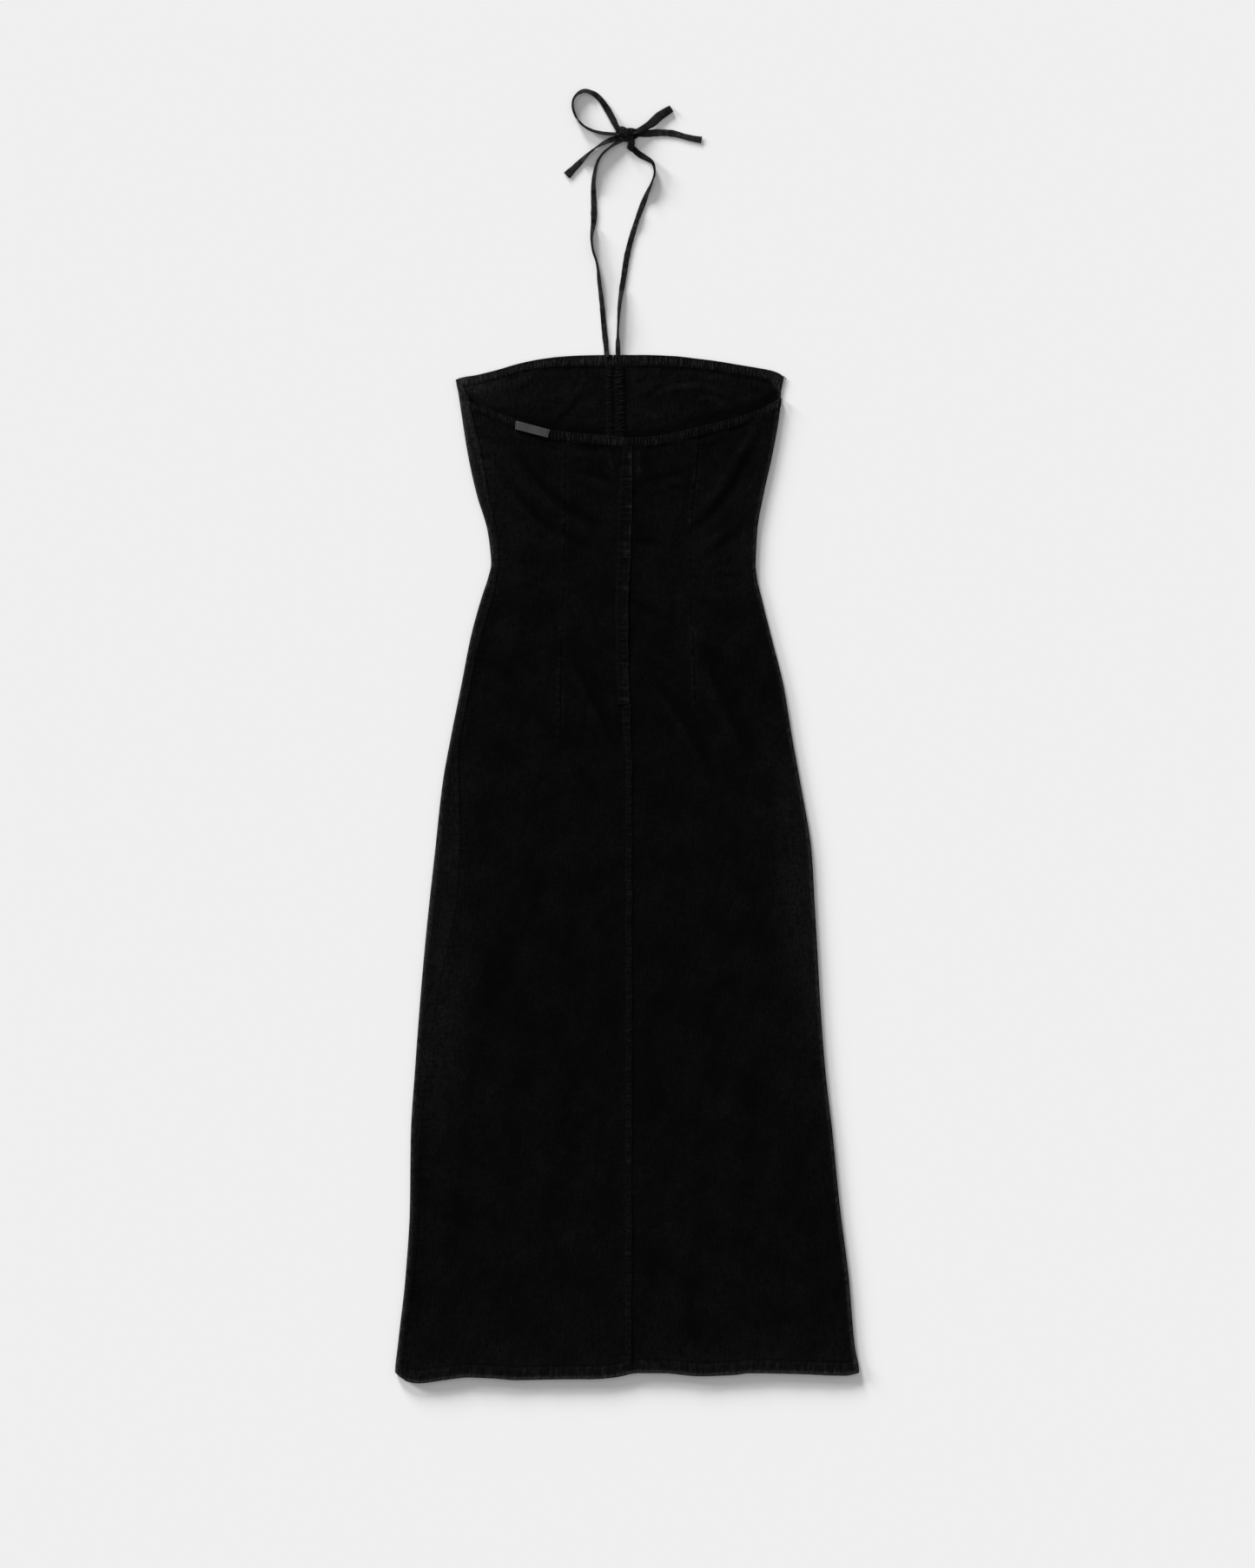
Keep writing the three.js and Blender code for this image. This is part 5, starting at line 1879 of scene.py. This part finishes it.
@dataclass
class Knot:
    """The knot of the bow: turns of the tie wrapped over each other round a core."""

    name: str = "bow_wraps"
    node: str = "bow_knot"
    core: tuple[float, float, float] = (*KNOT_AT, 2.9)
    core_size: tuple[float, float, float] = (9.6, 5.6, 2.7)
    painted_shade_hollow: tuple[float, float] = (2.5, 871)
    brighter: float = 1.32
    core_fade: float = 0.06
    puckered: tuple[float, float] = (1.2, 0.9)

    def build(self, finishes: Finishes) -> bpy.types.Object:
        """Wrap the turns round the core and join them.

        Args:
            finishes: the materials.

        Returns:
            The knot.
        """
        parts = []
        for number, rows in enumerate(KNOT_WRAPS):
            wrap = Tie(f"wrap_{number}", self.node, rows, width=5.0, thickness=1.7, seed=number + 4)
            points, fade, uv = wrap.rings()
            x, y = points[..., 0], points[..., 1]
            fade = self.brighter * fade + 0.09 * ripple(x, y, 3.2, 70 + number)
            # Painted shade: darker in the middle of the knot between the wraps.
            fade -= 0.2 * bell(np.hypot(x - self.painted_shade_hollow[0], y - self.painted_shade_hollow[1]), 5)
            points[..., 2] += 0.22 * ripple(x, y, 3.4, 80 + number) * (points[..., 2] > 2)
            marks = Marks.even(fade, *self.puckered)
            part = lay_grid(wrap.name, points, marks.values(), uv)
            close_tube(part)
            parts.append(part)
        drop_selection()
        bpy.ops.mesh.primitive_uv_sphere_add(segments=28, ring_count=14, radius=1, location=(0, 0, 0))
        core = bpy.context.object
        shape = np.array([v.co for v in core.data.vertices])
        shape = (shape * np.array(self.core_size) + np.array(self.core)) * METRE
        core.data.vertices.foreach_set("co", shape.astype(np.float32).ravel())
        marks = Marks.even(np.full(len(shape), self.core_fade), *self.puckered)
        keep_marks(core, marks.values())
        drop_selection()
        for part in [*parts, core]:
            part.select_set(True)
        bpy.context.view_layer.objects.active = parts[0]
        bpy.ops.object.join()
        piece = bpy.context.object
        piece.name = self.name
        smooth(piece, 60)
        return dress_piece(piece, finishes.tie, "tie", self.node)


@dataclass
class Ties:
    """The two neck ties and the bow that they are tied in."""

    def build(self, finishes: Finishes) -> list[bpy.types.Object]:
        """Build the ties and the knot.

        Args:
            finishes: the materials.

        Returns:
            The pieces.
        """
        ties = (
            Tie("neck_tie_left", "tie_left", TIE_LEFT, "knot", seed=1),
            Tie("neck_tie_right", "tie_right", TIE_RIGHT, "knot", seed=2),
            Tie(
                "bow_loop_left", "bow_loop_open", OPEN_LOOP, "object", lean=-1.0, twist_at=0.665, seed=3
            ),
            Tie("bow_loop_right", "bow_loop_flat", FLAT_LOOP, "bare", 7.6, 2.4, seed=4),
            # Both loose ends are coloured lighter than the other ties; this is painted light that lifts them
            # where they lie dim under the lamps.
            Tie("bow_end_right", "tie_end_right", END_RIGHT, "bare", faded=0.74, seed=5),
            Tie("bow_end_left", "tie_end_left", END_LEFT, "bare", lean=-1.0, faded=0.68, seed=6),
        )
        return [*(tie.build(finishes) for tie in ties), Knot().build(finishes)]


@dataclass
class Dress:
    """The dress without its ties."""

    lay: Lay = field(default_factory=Lay)
    spacing: float = 2.6
    front_spacing: float = 3.2
    binding_spacing: float = 0.62

    def spread(
        self, start: Line, end: Line, length: float, layer: Layer, neck: Run, spacing: float
    ) -> list[Column]:
        """Make evenly spaced columns from one line to another, both with a column.

        Args:
            start: the first line.
            end: the last line.
            length: usual distance between the lines.
            layer: where the columns lie.
            neck: the neck edge that they reach.
            spacing: distance from one column to the next.

        Returns:
            The columns.
        """
        count = max(2, round(length / spacing))
        return [
            Column(layer, between(start, end, step / count), neck) for step in range(count + 1)
        ]

    def dart_columns(self, dart: Run, layer: Layer, neck: Run) -> list[Column]:
        """Make closely spaced columns beside a dart."""
        return [
            Column(layer, self.shifted(dart, by), neck)
            for by in (-5, -3.6, -2.4, -1.4, -0.6, 0, 0.6, 1.4, 2.6)
        ]

    def shifted(self, line: Callable[[Array], Array], by: float) -> Line:
        """Make a line that lies beside another."""
        return lambda y, radius: line(y) + by

    def fold(self, layer: Layer, necks: tuple[Run, Run], count: int = 10) -> list[Column]:
        """Make the columns round a folded side, from its top to its underside."""
        turns = np.linspace(90, 270, count + 1)
        return [
            Column(layer, self.shifted(self.lay.left, 0), necks[int(turn > 150)], math.radians(turn))
            for turn in turns
        ]

    def lines(self) -> dict[str, Line]:
        """Give the lines that the panels run between."""
        lay = self.lay
        return {
            "side_front": self.shifted(lay.left_seam, -lay.seam_gap),
            "side_back": self.shifted(lay.left_seam, lay.seam_gap),
            "under_front": self.shifted(lay.right_seam, -lay.hidden_gap),
            "under_back": lambda y, radius: np.minimum(
                lay.right_seam(y) + lay.hidden_gap, lay.right(y) - radius - 0.3
            ),
            "front_left": self.shifted(lay.front_seam, -lay.seam_gap),
            "front_right": self.shifted(lay.front_seam, lay.seam_gap),
            "back_left": self.shifted(lay.back_seam, -lay.seam_gap),
            "back_right": self.shifted(lay.back_seam, lay.seam_gap),
            "left_side": lambda y, radius: lay.left(y) + radius,
            "right_side": lambda y, radius: lay.right(y) - radius,
        }

    def near(self, line: Line, by: float) -> Line:
        """Make a line at a fixed distance from one of the panel lines."""
        return lambda y, radius: line(y, radius) + by

    def front_left(self, spacing: float) -> list[Column]:
        """Make the columns of the left front, which wraps over the left side."""
        lay, run = self.lay, self.lines()
        over, neck = Layer.OVER, lay.wrapped_neck
        beside = (0, 0.7, 1.5, 2.5, 3.6)
        columns = [Column(over, self.near(run["side_front"], -by), neck) for by in beside]
        columns += self.spread(
            self.near(run["side_front"], -5), run["left_side"], 11, over, neck, spacing * 0.75
        )[:-1]
        columns += self.fold(Layer.LEFT_FOLD, (neck, lay.front_neck))
        columns += self.spread(
            run["left_side"], run["front_left"], 225, Layer.UNDER, lay.front_neck, spacing
        )[1:]
        return columns

    def front_right(self, spacing: float) -> list[Column]:
        """Make the columns of the right front."""
        lay, run = self.lay, self.lines()
        return self.spread(
            run["front_right"], run["under_front"], 225, Layer.UNDER, lay.front_neck, spacing
        )

    def back_left(self, spacing: float) -> list[Column]:
        """Make the columns of the left back, closer together at its seam and dart."""
        lay, run = self.lay, self.lines()
        over, neck = Layer.OVER, lay.back_neck
        columns = [Column(over, self.near(run["side_back"], by), neck) for by in (0, 0.7, 1.5, 2.6)]
        columns += self.spread(
            self.near(run["side_back"], 4.2), self.shifted(lay.left_dart, -7), 130, over, neck, spacing
        )
        columns += self.dart_columns(lay.left_dart, over, neck)
        columns += self.spread(
            self.shifted(lay.left_dart, 5), run["back_left"], 76, over, neck, spacing
        )
        return columns

    def back_right(self, spacing: float) -> list[Column]:
        """Make the columns of the right back, which wraps under the right side."""
        lay, run = self.lay, self.lines()
        over, neck = Layer.OVER, lay.back_neck
        columns = self.spread(
            run["back_right"], self.shifted(lay.right_dart, -7), 72, over, neck, spacing
        )
        columns += self.dart_columns(lay.right_dart, over, neck)
        columns += self.spread(
            self.shifted(lay.right_dart, 5), run["right_side"], 118, over, neck, spacing
        )[:-1]
        columns += self.fold(Layer.RIGHT_FOLD, (neck, neck))
        columns += [
            Column(Layer.UNDER, between(run["right_side"], run["under_back"], share), neck)
            for share in (0.35, 0.7, 1.0)
        ]
        return columns

    def bindings(self) -> list[Binding]:
        """Make the four neck bindings."""
        lay, run = self.lay, self.lines()
        over, under, step = Layer.OVER, Layer.UNDER, self.binding_spacing
        left = self.spread(run["side_front"], run["left_side"], 12, over, lay.wrapped_neck, step)[:-1]
        left += self.fold(Layer.LEFT_FOLD, (lay.wrapped_neck, lay.front_neck))
        left += self.spread(run["left_side"], run["front_left"], 184, under, lay.front_neck, step)[1:]
        right = self.spread(run["front_right"], run["under_front"], 202, under, lay.front_neck, step)
        back_left = self.spread(run["side_back"], run["back_left"], 190, over, lay.back_neck, step)
        back_right = self.spread(run["back_right"], run["right_side"], 176, over, lay.back_neck, step)[:-1]
        back_right += self.fold(Layer.RIGHT_FOLD, (lay.back_neck, lay.back_neck))
        back_right.append(Column(under, run["under_back"], lay.back_neck))
        return [
            Binding("front_edge_left", "front_binding_left", lay, left, 101, (0.1, 0.55), (-202, 0.5)),
            Binding("front_edge_right", "front_binding_right", lay, right, 102, (0.07, 0.5), (185, 0.2)),
            Binding("back_edge_left", "back_binding_left", lay, back_left, 103, (0.014, 0.36), (-22, 0.12)),
            Binding("back_edge_right", "back_binding_right", lay, back_right, 104, (0.012, 0.31), (185, 0.3)),
        ]

    def panels(self) -> list[Panel]:
        """Make the four panels."""
        lay, step, wide = self.lay, self.spacing, self.front_spacing
        cuts = (
            ("front_left", self.front_left(wide), True, (0.30, 1.24), 0.29),
            ("front_right", self.front_right(wide), True, (0.28, 1.24), 0.25),
            ("back_left", self.back_left(step), False, (0.28, 1.18), 0.24),
            ("back_right", self.back_right(step), False, (0.30, 1.18), 0.27),
        )
        fronts = ("front_left_cloth", "front_right_cloth")
        return [
            Panel(f"{node}_cloth", node, lay, columns, inward, flat, area, () if inward else fronts)
            for node, columns, inward, flat, area in cuts
        ]

    def build(self, finishes: Finishes) -> None:
        """Build the dress.

        Args:
            finishes: the materials.
        """
        lay = self.lay
        panels = self.panels()
        sheets = [panel.build(finishes) for panel in panels]
        bindings = self.bindings()
        strips = [binding.build(finishes) for binding in bindings]
        casing = Casing("gathered_casing", "front_casing", lay).build(finishes)
        lap = Strip(
            "back_lap", lay, start=500.6, end=192, edge=Run(LAP_EDGE), width=Run(LAP_WIDTH),
            thickness=0.95, seed=61, pitch=6.2, drawn=0.3, worn=0.34, soft_edge=3.4,
            creases=LAP_CREASES, dim=0.6, spots=LAP_RUBBED,
        )
        lap_piece = lap.build(finishes, "zip_lap")
        beside = Run(RIDGE_EDGE)
        ridge = Strip(
            "back_seam_ridge", lay, start=195, end=-596, edge=lambda y: lay.back_seam(y) + beside(y),
            width=Run(RIDGE_WIDTH), thickness=0.5, seed=62, pitch=5.6, drawn=0.5, worn=0.5,
            bright_edge=0.06, across_points=14,
        )
        ridge_piece = ridge.build(finishes)
        label = Label("blank_label", "neck_label", lay)
        label_piece = label.build(finishes)
        rows = Stitching("topstitching")
        for binding in bindings:
            rows.along(binding.stitch_line())
        for panel in panels[2:]:
            rows.along(panel.stitch_line())
        for line in (lap.line(0.14), ridge.line(0.14), ridge.line(0.86)):
            rows.along(line)
        for shift in (-0.5, 0, 0.5):
            rows.along(np.array(BAR_TACK) + (shift, shift, 0), 1.9)
        sewing = rows.build(finishes)
        tacks = Stitching("label_stitches", length=1.5, width=0.42)
        for line in label.end_lines():
            tacks.along(line, 1.7)
        sewn_label = tacks.build(finishes)
        panels[0].declare(sheets[0], [strips[0], casing])
        panels[1].declare(sheets[1], [strips[1]])
        panels[2].declare(sheets[2], [strips[2], lap_piece, ridge_piece, label_piece, sewn_label, sewing])
        panels[3].declare(sheets[3], [strips[3]])


@dataclass(frozen=True)
class Lamp:
    """A soft lamp that stands low beyond the neck of the dress."""

    name: str
    energy: float
    rise: float
    turn: float
    spread: float = 14.0

    def hang(self) -> None:
        """Add the lamp."""
        drop_selection()
        tilt = math.radians(90 - self.rise)
        bpy.ops.object.light_add(
            type="SUN", location=(0, 0, 3), rotation=(-tilt, 0, math.radians(self.turn))
        )
        light = bpy.context.object
        light.name = self.name
        light.data.energy = self.energy
        light.data.angle = math.radians(self.spread)


@dataclass
class Studio:
    """The pale floor, the soft light and the camera straight above."""

    centre: tuple[float, float] = (0.0005, 0.1004)
    view_height: float = 1.860
    distance: float = 5.2
    sensor: float = 36.0
    floor_tone: float = 0.85
    sky: float = 0.42
    lamps: tuple[Lamp, ...] = (Lamp("key_light", 4.85, 13.5, 22), Lamp("side_light", 3.5, 12.5, 56))

    def camera(self) -> None:
        """Hang the camera above the middle of the photographed area."""
        drop_selection()
        bpy.ops.object.camera_add(location=(*self.centre, self.distance), rotation=(0, 0, 0))
        camera = bpy.context.object
        camera.name = "camera"
        camera.data.sensor_width = self.sensor
        camera.data.lens = self.sensor * self.distance / self.view_height
        camera.data.clip_end = 50
        bpy.context.scene.camera = camera

    def light(self) -> None:
        """Light the floor evenly from the sky and from two soft lamps beyond the neck."""
        for lamp in self.lamps:
            lamp.hang()
        world = bpy.data.worlds.new("studio")
        world.use_nodes = True
        background = world.node_tree.nodes["Background"]
        background.inputs["Color"].default_value = (1, 1, 1, 1)
        background.inputs["Strength"].default_value = self.sky
        bpy.context.scene.world = world
        bpy.context.scene.view_settings.view_transform = "Standard"

    def floor(self) -> None:
        """Spread the pale floor."""
        drop_selection()
        bpy.ops.mesh.primitive_plane_add(size=60, location=(0, 0, -0.0004))
        floor = bpy.context.object
        floor.name = "floor"
        shader = Shader("pale_floor", 0.9, 0.0)
        tone = self.floor_tone
        grain = shader.spread(shader.noise((260, 260, 260), 2), 0.3, 0.7)
        colour = shader.blend(
            grain, (tone * 0.997, tone * 0.997, tone * 0.997, 1), (tone, tone, tone, 1)
        )
        shader.tree.links.new(colour, shader.surface.inputs["Base Color"])
        floor.data.materials.append(shader.material)

    def build(self) -> None:
        """Set up the camera, the light and the floor."""
        self.camera()
        self.light()
        self.floor()


def main() -> None:
    """Build the studio, the ties and the dress in order."""
    logging.basicConfig(level=logging.INFO, format="%(message)s")
    Studio().build()
    finishes = Finishes(
        cloth=ClothFinish().material(),
        tie=ClothFinish(name="narrow_cotton_tie", uv=True, crumple=0.4, gloss=0.06).material(),
        label=LabelFinish().material(),
        thread=ThreadFinish().material(),
    )
    Ties().build(finishes)
    Dress().build(finishes)
    bpy.context.view_layer.update()


if __name__ == "__main__":
    main()
